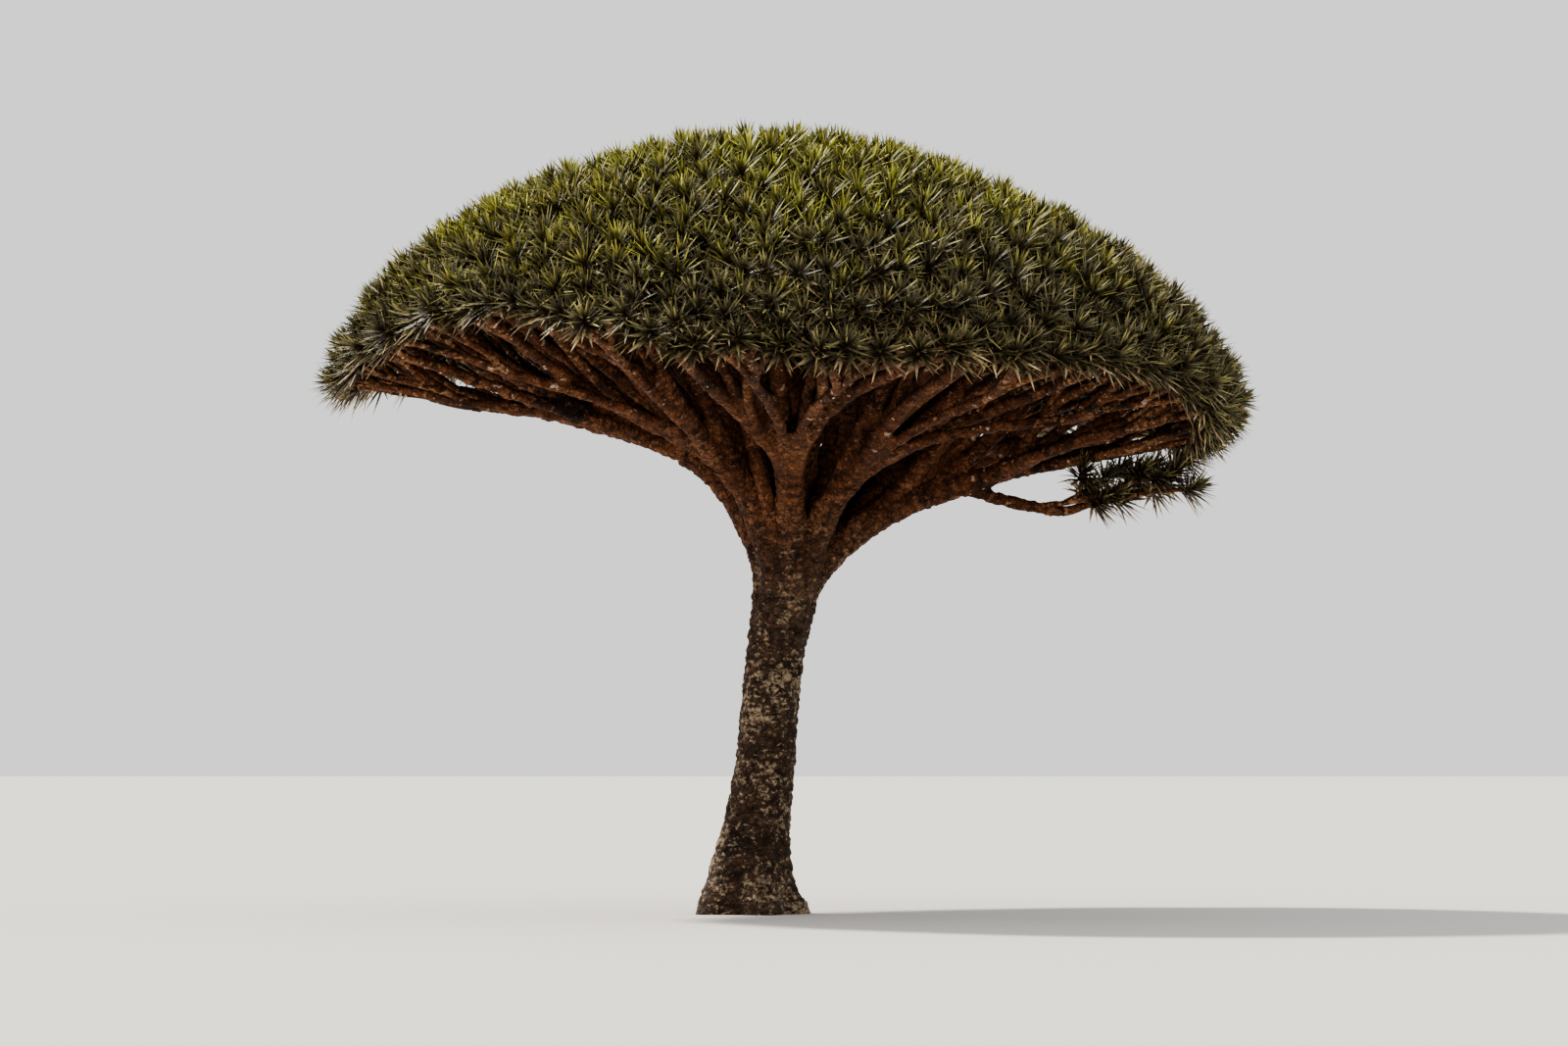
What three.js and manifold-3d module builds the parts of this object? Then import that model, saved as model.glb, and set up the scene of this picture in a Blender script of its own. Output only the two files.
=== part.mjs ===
// A dragon blood tree: an umbrella crown of sword-leaved rosettes on boughs that fork from one leaning trunk.
// Units are millimetres and +Z is up. The origin is the centre of the flat cut at ground level.
// Azimuth 0 points along +X and 90 along +Y. A polar angle runs from the crown's top down to its rim.
import * as THREE from "three";
import { mergeVertices } from "three/addons/utils/BufferGeometryUtils.js";
import Module from "manifold-3d";

const wasm = await Module();
wasm.setup();

const DEG = Math.PI / 180;

// The whole tree
const TREE_HEIGHT = 9080;
const CROWN_RADIUS = 5430;
const CROWN_AXIS_X = 400;
const CROWN_DEPTH_SHARE = 0.97;
const SHOULDER_HEIGHT = 5800;
const LIP_DEPTH = 1600;
const DOME_LEFT = { bow: 1.9, ease: 0.55 };
const DOME_RIGHT = { bow: 1.6, ease: 0.62 };
// Polar angle where the foliage ends, in equal steps of azimuth from the right side round by the back
const RIM_POLAR = [118, 97, 84, 80, 91, 77, 90, 89];

// The trunk: height, sideways place of its centre and radius at each ring
const TRUNK_RINGS = [
  [0, 0, 610],
  [150, -10, 570],
  [380, -5, 495],
  [800, 45, 412],
  [1250, 120, 362],
  [1700, 180, 336],
  [2400, 240, 326],
  [3000, 310, 335],
  [3450, 380, 372],
  [3780, 440, 420],
  [3980, 470, 440],
  [4100, 480, 300],
];
const ROOT_RIBS = 5;
const RIB_SHARE = 0.17;
const RIB_FALL = 420;
const TRUNK_SIDES = 16;

// Main boughs that carry the rim: azimuth, how far out and how high each one forks,
// and the share of the crown's radius and the height at which its branches end
const OUTER_BOUGHS = [
  { name: "right", azimuth: 3, reach: 2150, rise: 4930, slump: 0.66, carry: 0.52, climb: 5140 },
  { name: "back_right", azimuth: 44, reach: 1550, rise: 4880, slump: 0.6, carry: 0.46, climb: 5280 },
  { name: "back", azimuth: 101, reach: 1050, rise: 5000, slump: 0.6, carry: 0.36, climb: 5600 },
  { name: "back_left", azimuth: 136, reach: 1100, rise: 5100, slump: 0.6, carry: 0.38, climb: 5600 },
  { name: "left", azimuth: 184, reach: 1150, rise: 5260, slump: 0.7, carry: 0.42, climb: 5620 },
  { name: "front_left", azimuth: 230, reach: 1050, rise: 5080, slump: 0.6, carry: 0.37, climb: 5600 },
  { name: "front", azimuth: 274, reach: 950, rise: 4900, slump: 0.5, carry: 0.35, climb: 5450 },
  { name: "front_right", azimuth: 312, reach: 1100, rise: 4900, slump: 0.5, carry: 0.38, climb: 5400 },
];
// Steep boughs that carry the top of the dome
const INNER_BOUGHS = [
  { name: "upper_right", azimuth: 14, reach: 720, rise: 5500, slump: 0.4 },
  { name: "upper_left", azimuth: 165, reach: 780, rise: 5600, slump: 0.4 },
  { name: "upper_front", azimuth: 288, reach: 500, rise: 5550, slump: 0.4 },
];
const BOUGH_THICK = 205;
const BOUGH_THIN = 145;
const BRANCH_THICK = 125;
const BRANCH_THIN = 95;
const COLLAR = { root: 0.14, tip: 0.08, reach: 0.12 };
const SEAT_HEIGHT = 3870;
const SEAT_X = 470;
const SEAT_RADIUS = 190;
const INNER_SEAT_RADIUS = 65;
const BEND_SHARE = 0.42;
const BOUGH_SHAPE = { sides: 8, rings: 5 };
const BRANCH_SHAPE = { sides: 6, rings: 3 };
const BEAD_STEP = 60;
const CHAMFER = 0.6;
const CLEARANCE = 0.35;
const TIDY = 9;
const FLAT_TIDY = 0.03;

// The low arm that droops on the right side, under the crown, and the two rows of its twig ends
const DROOP_FROM = 0.93;
const DROOP_TURN = 5;
const DROOP_REACH = 3250;
const DROOP_HEIGHT = 4600;
const DROOP_SAG = 110;
const DROOP_THICK = 85;
const DROOP_THIN = 65;
const DROOP_WALL = 3200;
const DROOP_CEILING = 5090;
const DROOP_TIPS = 5;
const DROOP_STEPS = [350, 1200];
const DROOP_SPREAD = 300;
const DROOP_LIFT = 220;
const DROOP_FAN = { side: 0.8, up: 0.5 };

// How the crown is shared out between its masses of foliage
const RIM_TILES = 16;
const RIM_SHARE = 0.62;
const CAP_SHARE = 0.25;
const WALL_FOOT = 4200;
const WALL_TOP = 7000;
const CAP_STEM_REACH = 120;
const CAP_STEM_HEIGHT = 7150;
const SHOULDER_TILES = 5;
const SHOULDER_STEM_SHARE = 0.31;
const SHOULDER_STEM_HEIGHT = 6950;
const SPACE_GAP = 30;
const LIMB_GAP = 30;

// Twigs and rosettes of leaves
const STEM_RADIUS = 83;
const TIP_RADIUS = 36;
const ROOT_SHARE = 0.62;
const ROOT_SINK = 0.3;
const END_SHARE = 0.35;
const THINNING = 0.86;
const FORK_DEPTH = 1.6;
const LOW_SHARE = 0.72;
const LEAST_RUN = 0.16;
const MOST_RUN = 0.68;
const TIPS_PER_MASS = 5;
const TIP_MARGIN = 200;
const RIM_MARGIN = 8;
const CANDIDATES = 14;
const ROSETTE_INSET = 420;
const ROSETTE_RADIUS = 92;
const LEAF_LENGTH = 470;
const LEAF_SPREAD = 0.16;
const LEAF_FLOOR = 0.08;

// The dense inner foliage of a mass
const CORE_INSET = 550;
const CORE_THICK = 200;
const CORE_SHARE = 0.97;
const CORE_SQUARE = 0.85;
const CORE_LUMP = 130;
const CORE_SIDES = 8;
const CORE_RINGS = 4;

const bark = new THREE.MeshStandardMaterial({ color: 0x6b4a34, roughness: 0.9, metalness: 0 });
const foliage = new THREE.MeshStandardMaterial({ color: 0x66752a, roughness: 0.55, metalness: 0 });

// A small seeded source of random numbers from 0 to 1
function seeded(seed) {
  let state = seed >>> 0;
  return () => {
    state = (state + 0x6d2b79f5) >>> 0;
    let mixed = Math.imul(state ^ (state >>> 15), 1 | state);
    mixed = (mixed + Math.imul(mixed ^ (mixed >>> 7), 61 | mixed)) ^ mixed;
    return ((mixed ^ (mixed >>> 14)) >>> 0) / 4294967296;
  };
}

const mix = (a, b, share) => a + (b - a) * share;

function clamp(value, low, high) {
  return Math.min(high, Math.max(low, value));
}

// The crown's outer surface

// A share of 0 on the left side of the crown and 1 on its right
function rightness(azimuth) {
  return (1 + Math.cos(azimuth)) / 2;
}

function crownRadius(azimuth) {
  return CROWN_RADIUS * mix(1, CROWN_DEPTH_SHARE, Math.sin(azimuth) ** 2);
}

function rimPolar(azimuth) {
  const steps = RIM_POLAR.length;
  const place = (((azimuth / (2 * Math.PI)) % 1) + 1) * steps;
  const share = (1 - Math.cos((place % 1) * Math.PI)) / 2;
  return mix(RIM_POLAR[Math.floor(place) % steps], RIM_POLAR[Math.ceil(place) % steps], share) * DEG;
}

// A point at a given depth under the outline that the leaf tips draw
function crownPoint(polar, azimuth, inset = 0) {
  const side = rightness(azimuth);
  const bow = mix(DOME_LEFT.bow, DOME_RIGHT.bow, side);
  const ease = mix(DOME_LEFT.ease, DOME_RIGHT.ease, side);
  const out = Math.sin(polar);
  const rise =
    polar < Math.PI / 2
      ? (TREE_HEIGHT - SHOULDER_HEIGHT - inset) * (1 - out ** bow) ** ease
      : (LIP_DEPTH - inset) * Math.cos(polar);
  const radius = (crownRadius(azimuth) - inset) * out;
  return new THREE.Vector3(
    CROWN_AXIS_X + radius * Math.cos(azimuth),
    radius * Math.sin(azimuth),
    SHOULDER_HEIGHT + rise,
  );
}

// The direction straight out of the crown's surface
function crownNormal(polar, azimuth) {
  const step = 0.02;
  const angle = Math.max(polar, step * 1.5);
  const down = crownPoint(angle + step, azimuth).sub(crownPoint(angle - step, azimuth));
  const round = crownPoint(angle, azimuth + step).sub(crownPoint(angle, azimuth - step));
  return down.cross(round).normalize();
}

// Solids

function solidOf(geometry) {
  const bare = geometry.index ? geometry.toNonIndexed() : geometry;
  bare.deleteAttribute("normal");
  bare.deleteAttribute("uv");
  const merged = mergeVertices(bare, 0.01);
  return new wasm.Manifold(
    new wasm.Mesh({
      numProp: 3,
      vertProperties: merged.attributes.position.array,
      triVerts: new Uint32Array(merged.index.array),
    }),
  );
}

// The largest body of a solid, without the vertices that only divide a flat face
function largestBody(solid) {
  const bodies = solid.asOriginal().simplify(FLAT_TIDY).decompose();
  return bodies.reduce((best, body) => (body.volume() > best.volume() ? body : best));
}

function namedMesh(name, solid, material) {
  const { vertProperties, triVerts, numProp } = solid.getMesh();
  if (numProp !== 3) throw new Error(name + " carries more than positions");
  const geometry = new THREE.BufferGeometry();
  geometry.setAttribute("position", new THREE.BufferAttribute(vertProperties, 3));
  geometry.setIndex(new THREE.BufferAttribute(triVerts, 1));
  geometry.computeVertexNormals();
  const mesh = new THREE.Mesh(geometry, material);
  mesh.name = name;
  return mesh;
}

// Moves every vertex of a geometry by a function of its own place
function reshape(geometry, move) {
  const place = geometry.attributes.position;
  const vertex = new THREE.Vector3();
  for (let i = 0; i < place.count; i++) {
    const moved = move(vertex.fromBufferAttribute(place, i));
    place.setXYZ(i, moved.x, moved.y, moved.z);
  }
  return geometry;
}

// The trunk

function trunkSolid(grow = 0) {
  const last = TRUNK_RINGS.length - 1;
  const tube = new THREE.CylinderGeometry(1, 1, 1, TRUNK_SIDES, last);
  return solidOf(
    reshape(tube, ({ x, y, z }) => {
      const ring = Math.round((y + 0.5) * last);
      const [height, centre, girth] = TRUNK_RINGS[ring];
      const ribs = RIB_SHARE * Math.exp(-height / RIB_FALL) * Math.cos(ROOT_RIBS * Math.atan2(-z, x));
      const radius = girth * (1 + ribs) + grow;
      const lift = ring === 0 ? -grow : ring === last ? grow : 0;
      return new THREE.Vector3(centre + x * radius, -z * radius, height + lift);
    }),
  );
}

// Limbs: each is one tapering tube along a curve

function limb(name, from, control, to, thick, thin, shape) {
  const curve = new THREE.QuadraticBezierCurve3(from, control, to);
  const over = control.clone().sub(from).cross(to.clone().sub(from)).normalize();
  return { name, curve, over, thick, thin, ...shape, length: curve.getLength() };
}

function limbRadius({ thick, thin }, share) {
  const collar =
    COLLAR.root * Math.exp(-share / COLLAR.reach) + COLLAR.tip * Math.exp((share - 1) / COLLAR.reach);
  return mix(thick, thin, share) * (1 + collar);
}

function limbSolid(part, grow = 0) {
  const tube = new THREE.CylinderGeometry(1, 1, 1, part.sides, part.rings);
  const chamfered = 1 - (CHAMFER * part.thin) / part.length;
  return solidOf(
    reshape(tube, ({ x, y, z }) => {
      const ring = Math.round((y + 0.5) * part.rings);
      const last = ring === part.rings;
      const share = last ? 1 : (ring / (part.rings - 1)) * chamfered;
      const radius = limbRadius(part, share) * (last ? CHAMFER : 1) + grow;
      const heading = part.curve.getTangentAt(share);
      const side = heading.clone().cross(part.over);
      const stretch = ring === 0 ? -grow : last ? grow : 0;
      return part.curve
        .getPointAt(share)
        .addScaledVector(side, x * radius)
        .addScaledVector(part.over, z * radius)
        .addScaledVector(heading, stretch);
    }),
  );
}

// Places along a limb with the radius there, for testing what would touch it
function limbBeads(part) {
  const beads = [];
  const count = Math.ceil(part.length / BEAD_STEP);
  for (let i = 0; i <= count; i++) {
    const share = i / count;
    beads.push({ at: part.curve.getPointAt(share), radius: limbRadius(part, share) });
  }
  return beads;
}

const forkSeat = new THREE.Vector3(SEAT_X, 0, SEAT_HEIGHT);

function polarPlace(azimuth, radius, height) {
  return new THREE.Vector3(
    CROWN_AXIS_X + radius * Math.cos(azimuth),
    radius * Math.sin(azimuth),
    height,
  );
}

// A bough leaves the trunk's head steeply, and its slump says how far out it bends over
function makeBough({ name, azimuth, reach, rise, slump }, seat) {
  const angle = azimuth * DEG;
  const from = forkSeat.clone();
  from.x += seat * Math.cos(angle);
  from.y += seat * Math.sin(angle);
  const to = polarPlace(angle, reach, rise);
  const control = from.clone().lerp(to, BEND_SHARE);
  control.z = mix(control.z, rise, slump);
  return limb("bough_" + name, from, control, to, BOUGH_THICK, BOUGH_THIN, BOUGH_SHAPE);
}

// A branch goes on from a bough's tip in the bough's own direction before it turns
function makeBranch(name, bough, to) {
  const heading = bough.curve.getTangentAt(1);
  const from = bough.curve.getPointAt(1).addScaledVector(heading, -BOUGH_THIN);
  const control = from.clone().addScaledVector(heading, from.distanceTo(to) * BEND_SHARE);
  return limb("branch_" + name, from, control, to, BRANCH_THICK, BRANCH_THIN, BRANCH_SHAPE);
}

// Masses of foliage: each one has a tile of the crown between two azimuths and two shares of the radius

function rimMass(index, boughs) {
  const width = (2 * Math.PI) / RIM_TILES;
  const start = (index - 1) * width;
  const middle = start + width / 2;
  const bough = boughs[Math.floor(index / 2)];
  const { name: side, carry, climb } = OUTER_BOUGHS[Math.floor(index / 2)];
  const name = side + (index % 2 ? "_b" : "_a");
  const stem = polarPlace(middle, crownRadius(middle) * carry, climb);
  const branch = makeBranch(name, bough, stem);
  const space = {
    start,
    width,
    least: RIM_SHARE,
    most: 2,
    floor: index < 2 ? DROOP_CEILING + SPACE_GAP : 0,
  };
  return { name, bough, branch, space, seed: 100 + index };
}

function shoulderMass(index, bough) {
  const width = (2 * Math.PI) / SHOULDER_TILES;
  const start = index * width;
  const middle = start + width / 2;
  const name = "shoulder_" + (index + 1);
  const stem = polarPlace(middle, crownRadius(middle) * SHOULDER_STEM_SHARE, SHOULDER_STEM_HEIGHT);
  const branch = makeBranch(name, bough, stem);
  const space = { start, width, least: CAP_SHARE, most: RIM_SHARE, floor: 0 };
  return { name, bough, branch, space, seed: 200 + index };
}

function capMass(bough) {
  const branch = makeBranch("top", bough, polarPlace(0, CAP_STEM_REACH, CAP_STEM_HEIGHT));
  const space = { start: 0, width: 2 * Math.PI, least: 0, most: CAP_SHARE, floor: 0 };
  return { name: "top", bough, branch, space, seed: 300 };
}

// True if a place is in the mass's own space, at least a gap inside its walls
function holds({ start, width, least, most, floor, low }, place, gap = SPACE_GAP) {
  const x = place.x - CROWN_AXIS_X;
  const radius = Math.hypot(x, place.y);
  const azimuth = Math.atan2(place.y, x);
  // The drooping arm has all of the space beyond its wall and under its ceiling
  if (low) return radius > DROOP_WALL + gap && place.z < DROOP_CEILING - gap;
  if (radius > DROOP_WALL && place.z < floor) return false;
  // The walls between the rim, the shoulder and the top lean in towards the trunk's head
  const edge = crownRadius(azimuth) * clamp((place.z - WALL_FOOT) / (WALL_TOP - WALL_FOOT), 0, 1);
  if (least > 0 && radius < least * edge + gap) return false;
  if (most < 1 && radius > most * edge - gap) return false;
  if (width >= 2 * Math.PI) return true;
  const turn = (((azimuth - start) % (2 * Math.PI)) + 2 * Math.PI) % (2 * Math.PI);
  return turn < width && radius * Math.sin(Math.min(turn, width - turn, Math.PI / 2)) > gap;
}

// Spreads the ends of a mass's twigs evenly under its tile of the crown
function scatterTips(space, count, taken, random) {
  const tips = [];
  for (let i = 0; i < count; i++) {
    let best = null;
    let bestRoom = -1;
    for (let tries = 0; tries < CANDIDATES || (!best && tries < 40 * CANDIDATES); tries++) {
      const azimuth = space.start + random() * space.width;
      const from = Math.asin(space.least);
      const to = space.most < 1 ? Math.asin(space.most) : rimPolar(azimuth) - RIM_MARGIN * DEG;
      const polar = mix(from, to, space.least ? random() : Math.sqrt(random()));
      const place = crownPoint(polar, azimuth, ROSETTE_INSET);
      if (!holds(space, place, TIP_MARGIN)) continue;
      const room = Math.min(...taken.concat(tips).map((other) => other.place.distanceTo(place)), 1e6);
      if (room > bestRoom) {
        bestRoom = room;
        best = { place, out: crownNormal(polar, azimuth) };
      }
    }
    tips.push(best);
  }
  return tips;
}

// Twig ends of the drooping arm, in two rows beyond its own end
function droopTips(stem, outward) {
  const up = new THREE.Vector3(0, 0, 1);
  const side = up.clone().cross(outward);
  return Array.from({ length: DROOP_TIPS }, (_, i) => {
    const row = i % 2 ? 1 : -1;
    const step = mix(...DROOP_STEPS, i / (DROOP_TIPS - 1));
    const out = outward
      .clone()
      .addScaledVector(side, DROOP_FAN.side * row)
      .addScaledVector(up, DROOP_FAN.up)
      .normalize();
    const place = stem
      .clone()
      .addScaledVector(outward, step)
      .addScaledVector(side, row * DROOP_SPREAD)
      .addScaledVector(up, DROOP_LIFT);
    return { place, out };
  });
}

// A twig is a three-sided prism that swells from its root, which is sunk in the twig before it, to its end
function twigSolid({ from, to, heading, turn }, root, end) {
  const start = from.clone().addScaledVector(heading, -root * ROOT_SINK);
  const length = to.distanceTo(start) + end * END_SHARE;
  const prism = new THREE.CylinderGeometry(end, root, length, 3, 1).translate(0, length / 2, 0);
  return solidOf(prism.applyQuaternion(turn).translate(start.x, start.y, start.z));
}

// A rosette is a small ball at a twig's end whose faces are drawn out into stiff pointed leaves
function rosetteSolid(mass, centre, axis, random) {
  const ball = new THREE.IcosahedronGeometry(ROSETTE_RADIUS, 0);
  const corner = new THREE.Vector3().fromBufferAttribute(ball.attributes.position, 0).normalize();
  const spin = new THREE.Quaternion().setFromAxisAngle(axis, random() * 2 * Math.PI);
  ball.applyQuaternion(spin.multiply(new THREE.Quaternion().setFromUnitVectors(corner, axis)));
  ball.translate(centre.x, centre.y, centre.z);
  const place = ball.attributes.position;
  const faces = [];
  for (let i = 0; i < place.count; i += 3) {
    const [a, b, c] = [i, i + 1, i + 2].map((k) => new THREE.Vector3().fromBufferAttribute(place, k));
    const out = a.clone().add(b).add(c).divideScalar(3).sub(centre).normalize();
    const length = LEAF_LENGTH * (1 + LEAF_SPREAD * (random() + out.dot(axis) - 1));
    const tip = centre.clone().addScaledVector(out, length);
    const middle = centre.clone().addScaledVector(out, length / 2);
    const grows =
      out.dot(axis) > LEAF_FLOOR &&
      holds(mass.space, tip) &&
      !touches([middle, tip], mass.others, LIMB_GAP + ROSETTE_RADIUS / 2);
    faces.push(...(grows ? [a, b, tip, b, c, tip, c, a, tip] : [a, b, c]));
  }
  return solidOf(new THREE.BufferGeometry().setFromPoints(faces));
}

// The dense inner foliage of a tile, which the leaves stand out of
function coreSolid(space, random) {
  const phase = random() * 2 * Math.PI;
  const ball = new THREE.SphereGeometry(1, CORE_SIDES, CORE_RINGS);
  return solidOf(
    reshape(ball, ({ x, y, z }) => {
      const disc = Math.hypot(x, z);
      const lump = CORE_LUMP * Math.sin(4 * x + phase) * Math.cos(4 * z + phase) * Math.max(y, 0);
      const depth = CORE_INSET + (CORE_THICK * (1 - y)) / 2 + lump;
      // A share of the crown's radius is met at a steeper polar angle at this depth
      const steepened = (share) => Math.asin((share * CROWN_RADIUS) / (CROWN_RADIUS - depth));
      if (!space.least) {
        return crownPoint(disc * steepened(space.most) * CORE_SHARE, Math.atan2(-z, x), depth);
      }
      // A disc is stretched towards the tile's corners
      const corner = disc > 0 ? (disc / Math.max(Math.abs(x), Math.abs(z))) ** CORE_SQUARE : 1;
      const azimuth = space.start + (space.width * (1 + x * corner * CORE_SHARE)) / 2;
      const foot = space.most < 1 ? steepened(space.most) : rimPolar(azimuth);
      const polar = mix(steepened(space.least), foot, (1 + z * corner * CORE_SHARE) / 2);
      return crownPoint(polar, azimuth, depth);
    }).toNonIndexed(),
  );
}

// True if any of the places lies inside or against a limb
function touches(places, beads, room) {
  return places.some((place) => beads.some(({ at, radius }) => place.distanceTo(at) < radius + room));
}

// The two tips that lie furthest apart say how a group of tips is split
function splitTips(tips) {
  let pair = [tips[0], tips[1]];
  for (const a of tips) {
    for (const b of tips) {
      if (a.place.distanceTo(b.place) > pair[0].place.distanceTo(pair[1].place)) pair = [a, b];
    }
  }
  const line = pair[1].place.clone().sub(pair[0].place);
  const sorted = [...tips].sort((a, b) => a.place.dot(line) - b.place.dot(line));
  const half = Math.ceil(tips.length / 2);
  return [sorted.slice(0, half), sorted.slice(half)];
}

// A twig runs out low under its group of tips and forks when the group is near
function growTwigs(mass, from, tips, root, radius, random, pieces) {
  const middle = new THREE.Vector3();
  tips.forEach((tip) => middle.addScaledVector(tip.place, 1 / tips.length));
  middle.z = mix(middle.z, Math.min(...tips.map((tip) => tip.place.z)), LOW_SHARE);
  const spread = tips.reduce((sum, tip) => sum + tip.place.distanceTo(middle), 0) / tips.length;
  const run = clamp(1 - (FORK_DEPTH * spread) / from.distanceTo(middle), LEAST_RUN, MOST_RUN);
  const last = tips.length === 1;
  const to = from.clone().lerp(middle, last ? 1 : run);
  const end = last ? TIP_RADIUS : Math.max(TIP_RADIUS, radius * THINNING);
  const along = [0.5, 0.8, 1].map((share) => from.clone().lerp(to, share));
  if (!along.every((place) => holds(mass.space, place))) return;
  if (touches(along, mass.others, LIMB_GAP + radius)) return;
  const heading = to.clone().sub(from).normalize();
  const turn = new THREE.Quaternion().setFromUnitVectors(new THREE.Vector3(0, 1, 0), heading);
  const twig = { from, to, heading, turn };
  pieces.push(twigSolid(twig, root, end));
  if (last) {
    const axis = heading.clone().add(tips[0].out).normalize();
    pieces.push(rosetteSolid(mass, to, axis, random));
    return;
  }
  for (const half of splitTips(tips)) {
    growTwigs(mass, to, half, end * ROOT_SHARE, end, random, pieces);
  }
}

function massSolid(mass, tips) {
  const random = seeded(mass.seed);
  const pieces = mass.coreless ? [] : [coreSolid(mass.space, random)];
  const heading = mass.branch.curve.getTangentAt(1);
  const from = mass.branch.curve.getPointAt(1).addScaledVector(heading, -STEM_RADIUS / 2);
  growTwigs(mass, from, tips, STEM_RADIUS, STEM_RADIUS, random, pieces);
  const whole = pieces.reduce((sum, piece) => sum.add(piece)).asOriginal().simplify(TIDY);
  return largestBody(whole.subtract(limbSolid(mass.branch, CLEARANCE)));
}

// The tree

const outer = OUTER_BOUGHS.map((bough) => makeBough(bough, SEAT_RADIUS));
const inner = INNER_BOUGHS.map((bough) => makeBough(bough, INNER_SEAT_RADIUS));
const masses = [
  ...Array.from({ length: RIM_TILES }, (_, index) => rimMass(index, outer)),
  capMass(inner[0]),
  shoulderMass(0, inner[0]),
  shoulderMass(1, inner[1]),
  shoulderMass(2, inner[1]),
  shoulderMass(3, inner[2]),
  shoulderMass(4, inner[2]),
];

// The drooping arm leaves the right-hand bough a little before its fork
const droopAngle = DROOP_TURN * DEG;
const droopStem = polarPlace(droopAngle, DROOP_REACH, DROOP_HEIGHT);
const droopFrom = outer[0].curve.getPointAt(DROOP_FROM);
const droopBend = droopFrom.clone().lerp(droopStem, 0.5);
droopBend.z -= DROOP_SAG;
const droopArm = limb(
  "branch_drooping",
  droopFrom,
  droopBend,
  droopStem,
  DROOP_THICK,
  DROOP_THIN,
  BRANCH_SHAPE,
);
const droopMass = {
  name: "drooping",
  bough: outer[0],
  branch: droopArm,
  space: { low: true },
  // It is too thin for dense inner foliage
  coreless: true,
  seed: 400,
};

const limbs = [...outer, ...inner, ...masses.map((mass) => mass.branch), droopArm];
const allMasses = [...masses, droopMass];
for (const mass of allMasses) {
  mass.others = limbs.filter((other) => other !== mass.branch).flatMap(limbBeads);
}

const tree = new THREE.Group();
tree.name = "dragon_blood_tree";

const trunkGrown = trunkSolid(CLEARANCE);
tree.add(namedMesh("trunk", trunkSolid(), bark));

// Boughs are cut clear of the trunk's head and of the boughs before them
const placed = [];
for (const bough of [...outer, ...inner]) {
  let solid = limbSolid(bough).subtract(trunkGrown);
  for (const earlier of placed) solid = solid.subtract(earlier);
  placed.push(limbSolid(bough, CLEARANCE));
  tree.add(namedMesh(bough.name, largestBody(solid), bark));
}

// Branches are cut clear of every bough and of the branches that share their fork
for (const mass of allMasses) {
  let solid = limbSolid(mass.branch);
  for (const earlier of placed) solid = solid.subtract(earlier);
  placed.push(limbSolid(mass.branch, CLEARANCE));
  tree.add(namedMesh(mass.branch.name, largestBody(solid), bark));
}

const taken = [];
for (const mass of allMasses) {
  const random = seeded(mass.seed + 1000);
  const tips =
    mass === droopMass
      ? droopTips(droopStem, new THREE.Vector3(Math.cos(droopAngle), Math.sin(droopAngle), 0))
      : scatterTips(mass.space, TIPS_PER_MASS, taken, random);
  taken.push(...tips);
  tree.add(namedMesh("foliage_" + mass.name, massSolid(mass, tips), foliage));
}

export default tree;
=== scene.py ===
# The look of a dragon blood tree: bark in relief, twigs carried to their ends, rosettes of sword leaves.
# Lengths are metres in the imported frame. Azimuth 0 points along +X.
# A polar angle is 0 at the crown's top and grows towards its rim.
import math
import random
from itertools import accumulate

import bmesh
import bpy
import numpy as np
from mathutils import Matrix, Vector, kdtree


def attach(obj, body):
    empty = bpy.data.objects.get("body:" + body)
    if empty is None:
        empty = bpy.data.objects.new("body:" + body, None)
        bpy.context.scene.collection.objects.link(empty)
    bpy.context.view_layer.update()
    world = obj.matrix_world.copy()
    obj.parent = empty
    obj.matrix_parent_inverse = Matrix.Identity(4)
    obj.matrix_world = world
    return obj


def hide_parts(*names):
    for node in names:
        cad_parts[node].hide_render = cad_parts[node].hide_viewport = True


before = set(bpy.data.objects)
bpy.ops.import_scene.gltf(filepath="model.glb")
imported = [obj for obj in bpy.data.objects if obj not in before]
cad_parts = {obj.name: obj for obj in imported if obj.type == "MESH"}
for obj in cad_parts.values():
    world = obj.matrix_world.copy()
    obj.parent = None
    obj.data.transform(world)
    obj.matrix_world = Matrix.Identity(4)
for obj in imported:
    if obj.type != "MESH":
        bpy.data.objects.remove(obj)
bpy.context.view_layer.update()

UP = Vector((0, 0, 1))

# The whole crown
TREE_HEIGHT = 9.08
CROWN_RADIUS = 5.43
CROWN_AXIS_X = 0.4
CROWN_DEPTH_SHARE = 0.97
SHOULDER_HEIGHT = 5.8
LIP_DEPTH = 1.6
# The two powers that bow the dome's outline, on its left and on its right
DOME_LEFT = (1.9, 0.55)
DOME_RIGHT = (1.6, 0.62)
# Where the crown ends, in degrees from its top, at even steps of azimuth
RIM_POLAR = (118, 97, 84, 80, 91, 77, 90, 89)
NORMAL_STEP = 0.02

# The trunk: height, sideways place of its centre and radius
TRUNK_RINGS = (
    (0, 0, 0.61),
    (0.15, -0.01, 0.57),
    (0.38, -0.005, 0.495),
    (0.8, 0.045, 0.412),
    (1.25, 0.12, 0.362),
    (1.7, 0.18, 0.336),
    (2.4, 0.24, 0.326),
    (3.0, 0.31, 0.335),
    (3.45, 0.38, 0.372),
    (3.78, 0.44, 0.42),
    (3.98, 0.47, 0.44),
    (4.1, 0.48, 0.3),
)
ROOT_RIBS = 5
RIB_SHARE = 0.17
RIB_FALL = 0.42
TRUNK_SIDES = 96
TRUNK_STEP = 0.04
BELOW_GROUND = 0.06

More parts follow.
